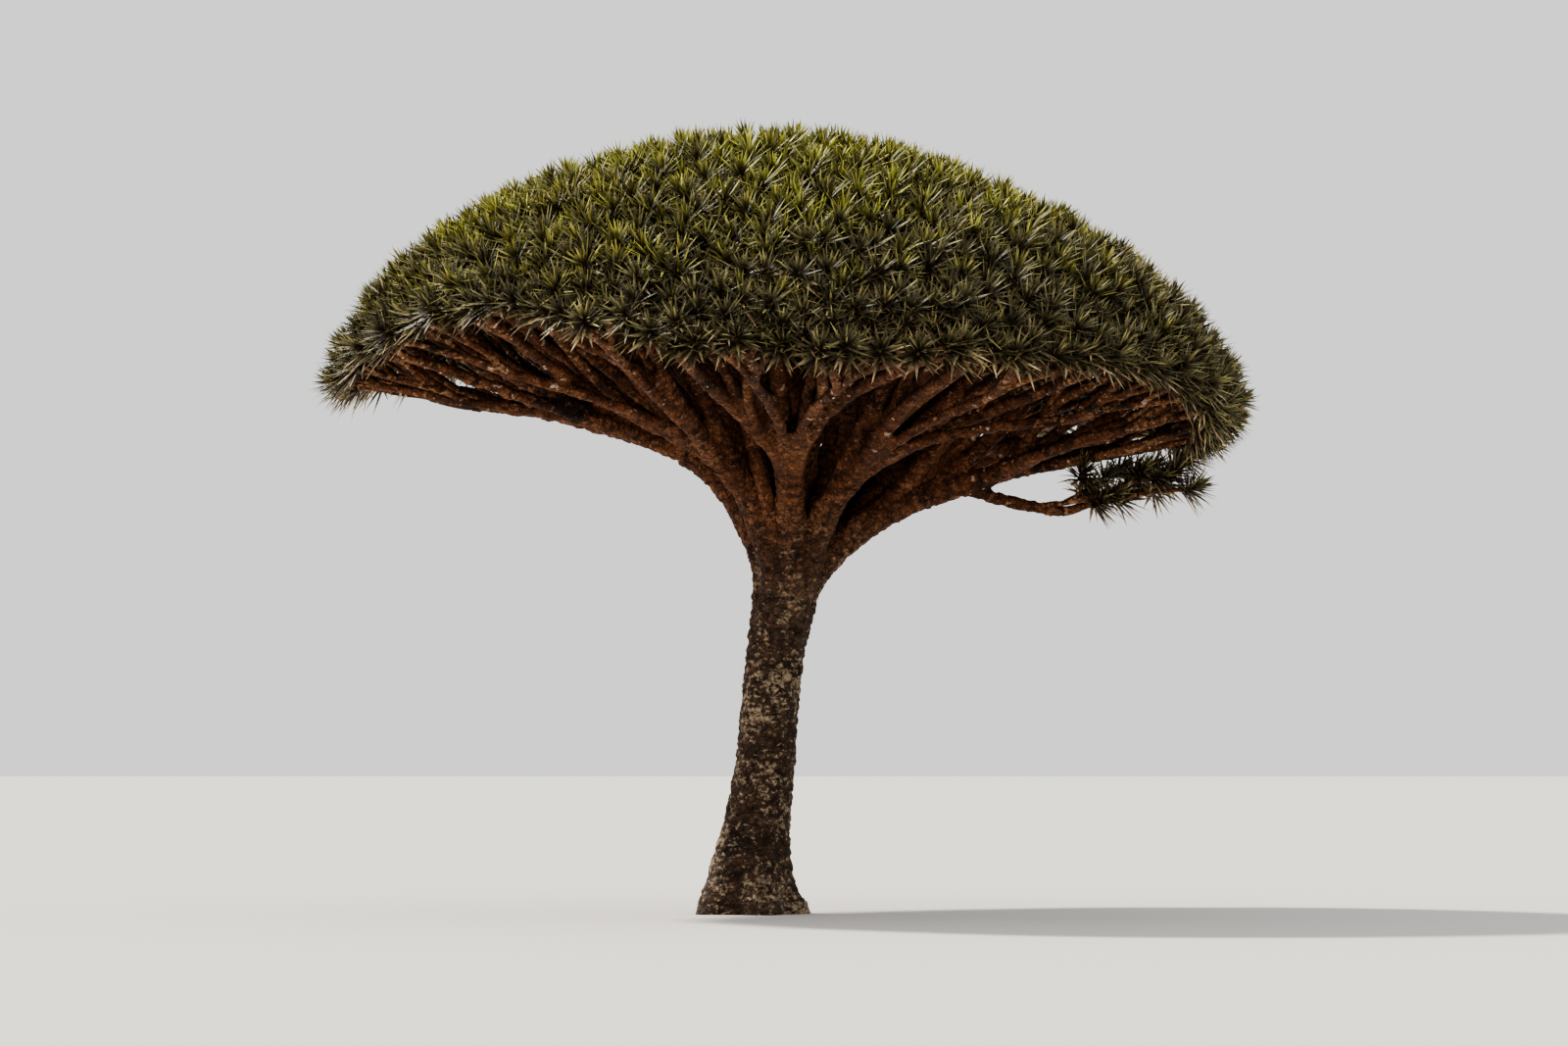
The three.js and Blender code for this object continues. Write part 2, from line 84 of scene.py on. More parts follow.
# Main boughs: azimuth, how far out and how high each one forks, how far out it bends over,
# and the share of the crown's radius and the height at which its branches end
OUTER_BOUGHS = (
    ("right", 3, 2.15, 4.93, 0.66, 0.52, 5.14),
    ("back_right", 44, 1.55, 4.88, 0.6, 0.46, 5.28),
    ("back", 101, 1.05, 5.0, 0.6, 0.36, 5.6),
    ("back_left", 136, 1.1, 5.1, 0.6, 0.38, 5.6),
    ("left", 184, 1.15, 5.26, 0.7, 0.42, 5.62),
    ("front_left", 230, 1.05, 5.08, 0.6, 0.37, 5.6),
    ("front", 274, 0.95, 4.9, 0.5, 0.35, 5.45),
    ("front_right", 312, 1.1, 4.9, 0.5, 0.38, 5.4),
)
INNER_BOUGHS = (
    ("upper_right", 14, 0.72, 5.5, 0.4),
    ("upper_left", 165, 0.78, 5.6, 0.4),
    ("upper_front", 288, 0.5, 5.55, 0.4),
)
BOUGH_GIRTH = (0.205, 0.145)
BRANCH_GIRTH = (0.125, 0.095)
COLLAR_ROOT = 0.14
COLLAR_TIP = 0.08
COLLAR_REACH = 0.12
SEAT = (0.47, 0, 3.87)
SEAT_RADIUS = 0.19
INNER_SEAT_RADIUS = 0.065
BEND_SHARE = 0.42
LIMB_STEP = 0.06
LEAST_STEPS = 8
CURVE_STEPS = 200

# Each bough goes on down the trunk's head as a ridge: height, distance from the trunk's centre and radius
FLUTE_RINGS = ((2.6, 0.15, 0.13), (3.0, 0.18, 0.145), (3.35, 0.195, 0.16), (3.65, 0.19, 0.185))
# The head is thinner between the ridges: the height where that starts, where it is full, and what is left
HEAD_CORE = (3.0, 3.5, 0.72)

# The low arm that droops on the right side
DROOP_FROM = 0.93
DROOP_TURN = 5
DROOP_REACH = 3.25
DROOP_HEIGHT = 4.6
DROOP_SAG = 0.11
DROOP_GIRTH = (0.085, 0.065)
DROOP_TIPS = 21
DROOP_ROWS = 3
DROOP_STEPS = (0.15, 1.5)
DROOP_SPREAD = 0.42
DROOP_LIFT = (0.0, 0.5)
DROOP_CLIMB = 0.15
DROOP_SEED = 400
# How far a tip strays, across and along
DROOP_STRAY = (0.3, 0.06)
# How a tip points: outwards, sideways and up
DROOP_AIM = (0.3, 0.6, 0.5)

# How the crown is shared out between its masses
RIM_TILES = 16
RIM_SEED = 100
REGIONS = ("right", "back", "left", "front")
RIM_SHARE = 0.62
CAP_SHARE = 0.25
NO_WALL = 2
WALL_FOOT = 4.2
WALL_TOP = 7.0
CAP_STEM_REACH = 0.12
CAP_STEM_HEIGHT = 7.15
CAP_SEED = 300
SHOULDER_TILES = 5
SHOULDER_STEM_SHARE = 0.31
SHOULDER_STEM_HEIGHT = 6.95
SHOULDER_SEED = 200

# Twigs, by the solids' rule with many more tips
STEM_RADIUS = 0.083
TIP_RADIUS = 0.025
ROOT_SHARE = 0.82
THINNING = 0.83
FORK_DEPTH = 2.8
LEAST_RUN = 0.16
MOST_RUN = 0.7
TWIG_BEND = 0.38
TWIG_STEPS = 5
SWELL_POWER = 0.8
# A twig's rounded end, as shares of its swell: how far on it reaches and how thin it gets
TWIG_CAP = (0.5, 0.62)
TIPS_ON_RIM = 84
TIPS_ON_LOW_RIM = 96
LOW_RIM = ("right_a", "right_b")
TIPS_UP_HIGH = 98
CANDIDATES = 30
MOST_CANDIDATES = 1200
RIM_MARGIN = math.radians(6)
ROSETTE_INSET = 0.28
ROSETTE_DEPTH = 0.22
LOW_SHARE = 0.72
AIM_LIFT = 0.6
THICK_TWIG = 0.06

# Stems: each pair is the share of the limb's length at which a stem leaves it, and the stem's radius
BOUGH_STEMS = ((0.64, 0.1), (0.3, 0.115))
BRANCH_STEMS = ((0.62, 0.085), (0.25, 0.09))
RIM_BRANCH_STEMS = ((0.78, 0.072), (0.48, 0.076), (0.2, 0.08))
UNDER_STEM = (0.95, 0.075)
DROOP_STEMS = ((1, 0.06), (0.72, 0.05))
HEAD_STEMMED = ("right_b", "back_right_a", "shoulder")
HEAD_STEM_RADIUS = 0.11
HEAD_STEM_SEAT = 0.12

# Where twigs keep clear of limbs
LIMB_GAP = 0.01
LOOK_ROUND = 0.4
LOOK_AT = (0.5, 0.8, 1)
HEAD_ROOM = 1.5
FORK_ROOM = 0.7

# Bark: how fine each skin is, and the turns of its smoothing
TRUNK_SKIN = (0.021, 8)
BRANCH_SKIN = (0.03, 5)
SMOOTHING = 0.5
BOUGH_SIDES = 20
BRANCH_SIDES = 14
TWIG_SIDES = 8
TWIG_END_SIDES = 6
TRUNK_LINE_STEPS = 10
# Rings round a limb: how far lumps or mottling bend them, and how thin they are
RELIEF_RINGS = (6.0, 6.0)
TONE_RINGS = (5.0, 8.0)
TRUNK_RELIEF = {
    "Lump Size": 0.2,
    "Lump Depth": 0.085,
    "Furrow Size": 0.08,
    "Furrow Depth": 0.07,
    "Ring Spacing": 0.15,
    "Ring Depth": 0.01,
    "Ground Fade": 0.12,
}
BRANCH_RELIEF = {
    "Lump Size": 0.14,
    "Lump Depth": 0.06,
    "Furrow Size": 0.07,
    "Furrow Depth": 0.05,
    "Ring Spacing": 0.12,
    "Ring Depth": 0.01,
    "Ground Fade": 0.1,
}

# Leaves
UPPER_LEAVES = 30
SKIRT_LEAVES = 10
LEAF_LENGTH = 0.35
LEAF_HALF_WIDTH = 0.0165
# Along a leaf: share of its length, share of its half width and depth of its keel in half widths
LEAF_STATIONS = ((0.0, 0.8, 0.3), (0.42, 1.0, 0.24))
LEAF_EDGE_RISE = 0.12
LEAF_KEEL_DROP = 0.2
SKIRT_WIDTH = 1.4
SKIRT_FROM = 0.78
CONE_END = 0.08
ROSETTE_STEM = 0.13
LEAF_SAG = 0.07
GOLDEN_ANGLE = 2.39996
# The cosine between a rosette's aim and its most upright leaf, at most
MOST_UPRIGHT = 0.995
# The leaves at a rosette's heart are shorter: their share of the length, its growth outwards, and its end
HEART_LENGTH = 0.72
HEART_GROWTH = 0.8
HEART_END = 0.35
# Which leaf, on the way from heart to skirt, sits right at the rosette's place
STEM_MIDDLE = 0.3
# What is left to chance: how a leaf leans and turns, and how long and wide it is
LEAN_CHANCE = 0.07
TURN_CHANCE = 0.25
LENGTH_CHANCE = (0.86, 1.04)
WIDTH_CHANCE = (0.85, 1.15)
MOST_SPRAYS = 640
# Which finish goes to which share of the rosettes, from the sunniest on
UPPER_DEAL = (("sunlit", 0.0, 0.28), ("green", 0.28, 0.6), ("deep", 0.6, 1.0))
# The least sunny skirts get the brown old leaf, whose pale straw colour is a painted glint on the shaded
# low rim
SKIRT_DEAL = (("olive", 0.0, 0.7), ("brown", 0.7, 1.0))
DEAL_SEED = 7
# How much sun a rosette gets for its height, its aim and lying to the left, and by chance
SUN_WEIGHTS = (1.4, 0.5, 0.04)
SUN_CHANCE = 0.16


def mix(a, b, share):
    return a + (b - a) * share


def clamped(share):
    return min(1, max(0, share))


def grey(tone):
    return (tone,) * 3


def level_way(azimuth):
    return Vector((math.cos(azimuth), math.sin(azimuth), 0))


# The crown's outer surface


def crown_radius(azimuth):
    return CROWN_RADIUS * mix(1, CROWN_DEPTH_SHARE, math.sin(azimuth) ** 2)


def rim_polar(azimuth):
    steps = len(RIM_POLAR)
    place = (azimuth / math.tau % 1) * steps
    share = (1 - math.cos((place % 1) * math.pi)) / 2
    low = RIM_POLAR[math.floor(place) % steps]
    high = RIM_POLAR[math.ceil(place) % steps]
    return math.radians(mix(low, high, share))


def polar_place(azimuth, radius, height):
    return Vector((CROWN_AXIS_X + radius * math.cos(azimuth), radius * math.sin(azimuth), height))


def crown_point(polar, azimuth, inset=0.0):
    side = (1 + math.cos(azimuth)) / 2
    bow = mix(DOME_LEFT[0], DOME_RIGHT[0], side)
    ease = mix(DOME_LEFT[1], DOME_RIGHT[1], side)
    out = math.sin(polar)
    if polar < math.pi / 2:
        rise = (TREE_HEIGHT - SHOULDER_HEIGHT - inset) * max(0, 1 - abs(out) ** bow) ** ease
    else:
        rise = (LIP_DEPTH - inset) * math.cos(polar)
    return polar_place(azimuth, (crown_radius(azimuth) - inset) * out, SHOULDER_HEIGHT + rise)


def crown_normal(polar, azimuth):
    angle = max(polar, NORMAL_STEP * 1.5)
    down = crown_point(angle + NORMAL_STEP, azimuth) - crown_point(angle - NORMAL_STEP, azimuth)
    turned = crown_point(angle, azimuth + NORMAL_STEP) - crown_point(angle, azimuth - NORMAL_STEP)
    return down.cross(turned).normalized()


# Limbs along curves


def bend(start, control, end, share):
    return start.lerp(control, share).lerp(control.lerp(end, share), share)


def lengths_along(places):
    """How far along its line each place lies."""
    return list(accumulate(((b - a).length for a, b in zip(places, places[1:])), initial=0.0))


class Limb:
    """A tapering limb along a curve, sampled in even steps of its length."""

    def __init__(self, name, start, control, end, girth):
        self.name = name
        fine = [bend(start, control, end, i / CURVE_STEPS) for i in range(CURVE_STEPS + 1)]
        lengths = lengths_along(fine)
        self.count = max(LEAST_STEPS, math.ceil(lengths[-1] / LIMB_STEP))
        even = np.linspace(0, lengths[-1], self.count + 1)
        stops = np.interp(even, lengths, range(CURVE_STEPS + 1)) / CURVE_STEPS
        self.places = [bend(start, control, end, float(stop)) for stop in stops]
        self.radii = [self.radius(girth, i / self.count) for i in range(self.count + 1)]

    @staticmethod
    def radius(girth, share):
        collar = COLLAR_ROOT * math.exp(-share / COLLAR_REACH)
        collar += COLLAR_TIP * math.exp((share - 1) / COLLAR_REACH)
        return mix(*girth, share) * (1 + collar)

    def at(self, share):
        place = share * self.count
        step = min(math.floor(place), self.count - 1)
        return self.places[step].lerp(self.places[step + 1], place - step)

    def heading(self, share):
        step = min(math.floor(share * self.count), self.count - 1)
        return (self.places[step + 1] - self.places[step]).normalized()


def make_bough(seat, name, azimuth, reach, rise, slump):
    angle = math.radians(azimuth)
    start = Vector(SEAT) + level_way(angle) * seat
    end = polar_place(angle, reach, rise)
    control = start.lerp(end, BEND_SHARE)
    control.z = mix(control.z, rise, slump)
    return Limb("bough_" + name, start, control, end, BOUGH_GIRTH)


def make_branch(name, bough, end):
    heading = bough.heading(1)
    start = bough.at(1) - heading * BOUGH_GIRTH[1]
    control = start + heading * (start - end).length * BEND_SHARE
    return Limb("branch_" + name, start, control, end, BRANCH_GIRTH)


# Masses of foliage


class Mass:
    """What hangs in one tile of the crown, between two azimuths and two shares of the radius."""

    def __init__(self, name, bough, branch, region, seed, start, width, least, most):
        self.name = name
        self.bough = bough
        self.branch = branch
        self.region = region
        self.seed = seed
        self.start = start
        self.width = width
        self.least = least
        self.most = most

    def holds(self, place):
        x = place.x - CROWN_AXIS_X
        radius = math.hypot(x, place.y)
        azimuth = math.atan2(place.y, x)
        edge = crown_radius(azimuth)
        # The walls between the rim, the shoulder and the top lean in towards the trunk's head
        lean = clamped((place.z - WALL_FOOT) / (WALL_TOP - WALL_FOOT))
        if self.least > 0 and radius < self.least * edge * lean:
            return False
        if self.most < 1 and radius > self.most * edge * lean:
            return False
        turn = (azimuth - self.start) % math.tau
        return self.width >= math.tau or 0 < turn < self.width


def rim_mass(index, boughs):
    width = math.tau / RIM_TILES
    start = (index - 1) * width
    middle = start + width / 2
    side, _, _, _, _, carry, climb = OUTER_BOUGHS[index // 2]
    name = side + ("_b" if index % 2 else "_a")
    stem = polar_place(middle, crown_radius(middle) * carry, climb)
    bough = boughs[index // 2]
    branch = make_branch(name, bough, stem)
    region = REGIONS[index // 4]
    return Mass(name, bough, branch, region, RIM_SEED + index, start, width, RIM_SHARE, NO_WALL)


def shoulder_mass(index, bough):
    width = math.tau / SHOULDER_TILES
    start = index * width
    middle = start + width / 2
    name = f"shoulder_{index + 1}"
    stem = polar_place(middle, crown_radius(middle) * SHOULDER_STEM_SHARE, SHOULDER_STEM_HEIGHT)
    branch = make_branch(name, bough, stem)
    return Mass(name, bough, branch, "upper", SHOULDER_SEED + index, start, width, CAP_SHARE, RIM_SHARE)


def cap_mass(bough):
    branch = make_branch("top", bough, polar_place(0, CAP_STEM_REACH, CAP_STEM_HEIGHT))
    return Mass("top", bough, branch, "upper", CAP_SEED, 0, math.tau, 0, CAP_SHARE)


def droop_mass(bough, angle):
    start = bough.at(DROOP_FROM)
    stem = polar_place(angle, DROOP_REACH, DROOP_HEIGHT)
    control = start.lerp(stem, 0.5)
    control.z -= DROOP_SAG
    arm = Limb("branch_drooping", start, control, stem, DROOP_GIRTH)
    return Mass("drooping", bough, arm, "right", DROOP_SEED, 0, math.tau, 0, NO_WALL)


# Where twigs end


def wall_polar(share, inset):
    """The polar angle at which a share of the crown's radius is met at a depth under its surface."""
    return math.asin(share * CROWN_RADIUS / (CROWN_RADIUS - inset))


def tip_count(mass):
    if mass.name in LOW_RIM:
        return TIPS_ON_LOW_RIM
    return TIPS_ON_RIM if mass.least == RIM_SHARE else TIPS_UP_HIGH


def scatter_tips(mass, taken, rng):
    """Spreads the ends of a mass's twigs evenly under its tile of the crown."""
    tips = []
    low = wall_polar(mass.least, ROSETTE_INSET)
    for _ in range(tip_count(mass)):
        best = None
        best_room = -1.0
        tries = 0
        others = np.array(taken) if taken else np.zeros((1, 3))
        while tries < CANDIDATES or (best is None and tries < MOST_CANDIDATES):
            tries += 1
            azimuth = mass.start + rng.random() * mass.width
            if mass.most < 1:
                high = wall_polar(mass.most, ROSETTE_INSET + ROSETTE_DEPTH)
            else:
                high = rim_polar(azimuth) - RIM_MARGIN
            polar = mix(low, high, rng.random() if mass.least else math.sqrt(rng.random()))
            place = crown_point(polar, azimuth, ROSETTE_INSET + rng.random() * ROSETTE_DEPTH)
            if not mass.holds(place):
                continue
            room = float(np.min(np.sum((others - np.array(place)) ** 2, axis=1)))
            if room > best_room:
                best_room = room
                best = (place, crown_normal(polar, azimuth))
        if best:
            tips.append(best)
            taken.append(tuple(best[0]))
    return tips


def droop_tips(stem, outward, rng):
    """Twig ends of the drooping arm, in rows beyond its own end."""
    side = UP.cross(outward)
    stray_across, stray_along = DROOP_STRAY
    aim_out, aim_aside, aim_up = DROOP_AIM
    tips = []
    for i in range(DROOP_TIPS):
        row = i % DROOP_ROWS - 1 + rng.uniform(-stray_across, stray_across)
        share = i / (DROOP_TIPS - 1)
        step = mix(*DROOP_STEPS, share) + rng.uniform(-stray_along, stray_along)
        lift = rng.uniform(*DROOP_LIFT) + DROOP_CLIMB * share**2
        place = stem + outward * step + side * row * DROOP_SPREAD + UP * lift
        aim = outward * (aim_out + share) + side * aim_aside * row + UP * aim_up
        tips.append((place, aim.normalized()))
    return tips


def split_tips(tips):
    """The two tips that lie furthest apart say how a group of tips is split."""
    places = np.array([tuple(tip[0]) for tip in tips])
    apart = np.sum((places[:, None] - places[None]) ** 2, axis=2)
    first, second = divmod(int(np.argmax(apart)), len(tips))
    line = places[second] - places[first]
    order = np.argsort(places @ line, kind="stable")
    half = math.ceil(len(tips) / 2)
    return [tips[i] for i in order[:half]], [tips[i] for i in order[half:]]


def stem_groups(tips, count):
    """Eighths of the tips, from low to high, with the lowest joined so that each stem has one group."""
    quarters = [quarter for half in split_tips(tips) for quarter in split_tips(half)]
    groups = [eighth for quarter in quarters for eighth in split_tips(quarter)]
    groups.sort(key=lambda group: sum(tip[0].z for tip in group) / len(group))
    lowest = max(1, len(groups) - count + 1)
    return [sum(groups[:lowest], [])] + groups[lowest:]


# Twigs


def place_tree(places):
    tree = kdtree.KDTree(len(places))
    for index, place in enumerate(places):
        tree.insert(place, index)
    tree.balance()
    return tree


class Crowd:
    """All limbs, to tell where a twig would lie inside or against one that isn't its mass's own."""

    def __init__(self, limbs):
        self.owners = [(limb, radius) for limb in limbs for radius in limb.radii]
        self.tree = place_tree([place for limb in limbs for place in limb.places])

    def touches(self, place, mass, radius):
        # Close to a fork the stems crowd together and grow into each other
        if (place - Vector(SEAT)).length < HEAD_ROOM or (place - mass.bough.at(1)).length < FORK_ROOM:
            return False
        for _, index, distance in self.tree.find_range(place, LOOK_ROUND):
            owner, girth = self.owners[index]
            if owner not in (mass.branch, mass.bough) and distance < girth + radius + LIMB_GAP:
                return True
        return False


class Twig:
    """A twig that swells from its root, inside the twig before it, to its end."""

    def __init__(self, start, control, end, root, swell, last, region):
        self.region = region
        self.swell = swell
        self.last = last
        shares = [i / TWIG_STEPS for i in range(TWIG_STEPS + 1)]
        self.places = [bend(start, control, end, share) for share in shares]
        self.radii = [mix(root, swell, share**SWELL_POWER) for share in shares]
        heading = (self.places[-1] - self.places[-2]).normalized()
        self.places.append(self.places[-1] + heading * swell * TWIG_CAP[0])
        self.radii.append(swell * TWIG_CAP[1])


def grow_twigs(mass, start, heading, tips, root, radius, crowd, twigs, rosettes):
    """A twig runs out low under its group of tips and forks when the group is near."""
    middle = sum((tip[0] for tip in tips), Vector()) / len(tips)
    middle.z = mix(middle.z, min(tip[0].z for tip in tips), LOW_SHARE)
    spread = sum((tip[0] - middle).length for tip in tips) / len(tips)
    away = max((middle - start).length, 1e-6)
    run = min(MOST_RUN, max(LEAST_RUN, 1 - FORK_DEPTH * spread / away))
    last = len(tips) == 1
    end = start.lerp(middle, 1 if last else run)
    swell = TIP_RADIUS if last else max(TIP_RADIUS, radius * THINNING)
    if any(crowd.touches(start.lerp(end, share), mass, radius) for share in LOOK_AT):
        return False
    control = start + heading * (end - start).length * TWIG_BEND
    twigs.append(Twig(start, control, end, root, swell, last, mass.region))
    arriving = (end - control).normalized()
    if last:
        rosettes.append((end, (arriving + tips[0][1] + UP * AIM_LIFT).normalized()))
        return True
    for half in split_tips(tips):
        grow_twigs(mass, end, arriving, half, swell * ROOT_SHARE, swell, crowd, twigs, rosettes)
    return True


def stem_on(limb, share, radius):
    """Where a stem starts inside a limb, its first direction and its radius."""
    heading = limb.heading(share)
    return limb.at(share) - heading * radius / 2, heading, radius


def head_stem(mass):
    """A stem that leaves the trunk's head between the boughs, towards the middle of its mass."""
    outward = level_way(mass.start + mass.width / 2)
    start = Vector(SEAT) + outward * HEAD_STEM_SEAT
    return start, (outward + UP).normalized(), HEAD_STEM_RADIUS


def stems_of(mass):
    """A mass's stems, from the lowest on: those from further back on a limb carry higher tips."""
    on_rim = mass.least == RIM_SHARE
    stems = [stem_on(mass.bough, *UNDER_STEM)] if on_rim else []
    stems.append(stem_on(mass.branch, 1, STEM_RADIUS))
    stems += [stem_on(mass.branch, *stem) for stem in (RIM_BRANCH_STEMS if on_rim else BRANCH_STEMS)]
    stems += [stem_on(mass.bough, *stem) for stem in BOUGH_STEMS]
    if mass.name.startswith(HEAD_STEMMED):
        stems.append(head_stem(mass))
    return stems


def grow_mass(mass, stems, groups, crowd, twigs, rosettes):
    """Each group grows from its own stem, or past a limb in the way from a lower or then a higher one."""
    for own, group in enumerate(groups, 1):
        for start, heading, radius in stems[:own][::-1] + stems[own:]:
            if grow_twigs(mass, start, heading, group, radius, radius, crowd, twigs, rosettes):
                break


outer = [make_bough(SEAT_RADIUS, *row[:5]) for row in OUTER_BOUGHS]
inner = [make_bough(INNER_SEAT_RADIUS, *row) for row in INNER_BOUGHS]
upper_right, upper_left, upper_front = inner
domed = [rim_mass(index, outer) for index in range(RIM_TILES)]
domed.append(cap_mass(upper_right))
for index, bough in enumerate((upper_right, upper_left, upper_left, upper_front, upper_front)):
    domed.append(shoulder_mass(index, bough))
droop_angle = math.radians(DROOP_TURN)
drooping = droop_mass(outer[0], droop_angle)
masses = domed + [drooping]

limb_crowd = Crowd(outer + inner + [mass.branch for mass in masses])
all_twigs = []
all_rosettes = []
taken_places = []
for mass in domed:
    stems = stems_of(mass)
    tips = scatter_tips(mass, taken_places, random.Random(mass.seed))
    grow_mass(mass, stems, stem_groups(tips, len(stems)), limb_crowd, all_twigs, all_rosettes)
stems = [stem_on(drooping.branch, *stem) for stem in DROOP_STEMS]
tips = droop_tips(drooping.branch.places[-1], level_way(droop_angle), random.Random(drooping.seed))
groups = sorted(split_tips(tips), key=lambda group: -group[0][0].x)
grow_mass(drooping, stems, groups, limb_crowd, all_twigs, all_rosettes)


# Node trees


def put(tree, kind, inputs=(), **settings):
    """Adds a node. An input is a value, or a socket to link from."""
    node = tree.nodes.new(kind)
    for key, value in settings.items():
        setattr(node, key, value)
    for key, value in dict(inputs).items():
        socket = node.inputs[key]
        if isinstance(value, bpy.types.NodeSocket):
            tree.links.new(value, socket)
        else:
            socket.default_value = value
    return node


def reckon(tree, operation, a, b=0.0):
    return put(tree, "ShaderNodeMath", {0: a, 1: b}, operation=operation).outputs[0]


def plus(tree, a, b):
    return reckon(tree, "ADD", a, b)


def minus(tree, a, b):
    return reckon(tree, "SUBTRACT", a, b)


def times(tree, a, b):
    return reckon(tree, "MULTIPLY", a, b)


def swing(tree, noise):
    """A noise taken about zero."""
    return minus(tree, noise, 0.5)


def ring_lines(tree, turns, noise, bending, sharpness):
    """1 along lines round a limb, and about 0 between them."""
    wave = reckon(tree, "SINE", plus(tree, turns, times(tree, noise, bending)))
    return reckon(tree, "POWER", reckon(tree, "ABSOLUTE", wave), sharpness)


def share_between(tree, value, low, high):
    return put(tree, "ShaderNodeMapRange", {"Value": value, "From Min": low, "From Max": high}).outputs[0]


def scaled(tree, vector, size):
    return put(tree, "ShaderNodeVectorMath", {0: vector, "Scale": size}, operation="SCALE").outputs[0]


def level_length(tree, vector):
    flat = put(tree, "ShaderNodeVectorMath", {0: vector, 1: (1, 1, 0)}, operation="MULTIPLY").outputs[0]
    return put(tree, "ShaderNodeVectorMath", {0: flat}, operation="LENGTH").outputs["Value"]


def height_of(tree, vector):
    return put(tree, "ShaderNodeSeparateXYZ", {0: vector}).outputs[2]


def speckle(tree, place, scale, detail, roughness):
    return put(
        tree,
        "ShaderNodeTexNoise",
        {"Vector": place, "Scale": scale, "Detail": detail, "Roughness": roughness},
    ).outputs[0]


def attribute(tree, name, kind="FLOAT"):
    node = put(tree, "GeometryNodeInputNamedAttribute", {"Name": name}, data_type=kind)
    return next(socket for socket in node.outputs if socket.enabled and socket.name == "Attribute")


def realized(tree, geometry):
    return put(tree, "GeometryNodeRealizeInstances", {"Geometry": geometry}).outputs[0]


def clad(tree, geometry, material):
    return put(tree, "GeometryNodeSetMaterial", {"Geometry": geometry, "Material": material}).outputs[0]


def moved(tree, geometry, offset):
    return put(tree, "GeometryNodeSetPosition", {"Geometry": geometry, "Offset": offset}).outputs[0]


def stored(tree, geometry, name, value):
    return put(
        tree,
        "GeometryNodeStoreNamedAttribute",
        {"Geometry": geometry, "Name": name, "Value": value},
        data_type="FLOAT",
        domain="POINT",
    ).outputs[0]


def shape_tree(name, sockets):
    tree = bpy.data.node_groups.new(name, "GeometryNodeTree")
    tree.interface.new_socket("Geometry", in_out="INPUT", socket_type="NodeSocketGeometry")
    for label, kind in sockets:
        tree.interface.new_socket(label, in_out="INPUT", socket_type="NodeSocket" + kind)
    tree.interface.new_socket("Geometry", in_out="OUTPUT", socket_type="NodeSocketGeometry")
    return tree, put(tree, "NodeGroupInput").outputs, put(tree, "NodeGroupOutput").inputs


# Meshes from node trees


def shown(name, mesh):
    piece = bpy.data.objects.new(name, mesh)
    bpy.context.scene.collection.objects.link(piece)
    return piece


def settled(source, name):
    """The object with its modifiers applied, as a new plain mesh in the place of the old one."""
    depsgraph = bpy.context.evaluated_depsgraph_get()
    mesh = bpy.data.meshes.new_from_object(source.evaluated_get(depsgraph), depsgraph=depsgraph)
    bpy.data.objects.remove(source)
    mesh.name = name
    return shown(name, mesh)


def grown(source, name, tree, values):
    """Runs a node tree on a mesh and returns what it makes as a plain mesh object."""
    modifier = source.modifiers.new(tree.name, "NODES")
    modifier.node_group = tree
    for item in tree.interface.items_tree:
        if item.in_out == "INPUT" and item.name in values:
            modifier[item.identifier] = values[item.name]
    return settled(source, name)


def store(mesh, name, values, kind="FLOAT"):
    """Gives each point of a mesh its own value."""
    field = "vector" if kind == "FLOAT_VECTOR" else "value"
    mesh.attributes.new(name, kind, "POINT").data.foreach_set(field, values)


def runs_of(limbs):
    return [(limb.places, limb.radii) for limb in limbs]


def skeleton(name, runs):
    """A mesh of lines, one for each run of places and radii."""
    places = []
    edges = []
    girths = []
    lengths = []
    for run_places, run_radii in runs:
        first = len(places)
        places += run_places
        girths += run_radii
        lengths += lengths_along(run_places)
        edges += [(first + i, first + i + 1) for i in range(len(run_places) - 1)]
    mesh = bpy.data.meshes.new(name)
    mesh.from_pydata(places, edges, [])
    store(mesh, "girth", girths)
    store(mesh, "along", lengths)
    return shown(name, mesh)


def tube_tree():
    """Tubes along lines, as thick as the girth that each point carries."""
    tree, given, result = shape_tree("limb tubes", [("Sides", "Int"), ("Bark", "Material")])
    line = put(tree, "GeometryNodeMeshToCurve", {"Mesh": given["Geometry"]}).outputs[0]
    girth = attribute(tree, "girth")
    ring = put(tree, "GeometryNodeCurvePrimitiveCircle", {"Resolution": given["Sides"], "Radius": 1.0})
    tube = put(
        tree,
        "GeometryNodeCurveToMesh",
        {"Curve": line, "Profile Curve": ring.outputs["Curve"], "Scale": girth, "Fill Caps": True},
    ).outputs[0]
    tube = clad(tree, realized(tree, tube), given["Bark"])
    tree.links.new(tube, result["Geometry"])
    return tree


# Finishes

# Each palette is deep, main, pale and fleck
GREY_BARK = ((0.025, 0.014, 0.009), (0.075, 0.042, 0.026), (0.14, 0.088, 0.054), (0.42, 0.32, 0.21))
RUST_BARK = ((0.025, 0.01, 0.005), (0.12, 0.043, 0.018), (0.19, 0.072, 0.03), (0.25, 0.11, 0.05))
TWIG_BARK = ((0.024, 0.01, 0.005), (0.125, 0.046, 0.019), (0.22, 0.088, 0.036), (0.38, 0.2, 0.1))
# A pale speck of painted light on the bark under the crown
PAINTED_LIGHT_SPECK = (0.72, 0.52, 0.4)
# How far out from the origin the painted specks of light come in, and how high up the trunk the foot's
# palette gives way
LIGHT_SPECKS_FROM = (1.2, 2.8)
FOOT_TO = (3.5, 4.7)
# A leaf's root is reddish brown, darkened further as painted shade in the rosette's heart
SHADED_LEAF_ROOT = (0.03, 0.014, 0.007)
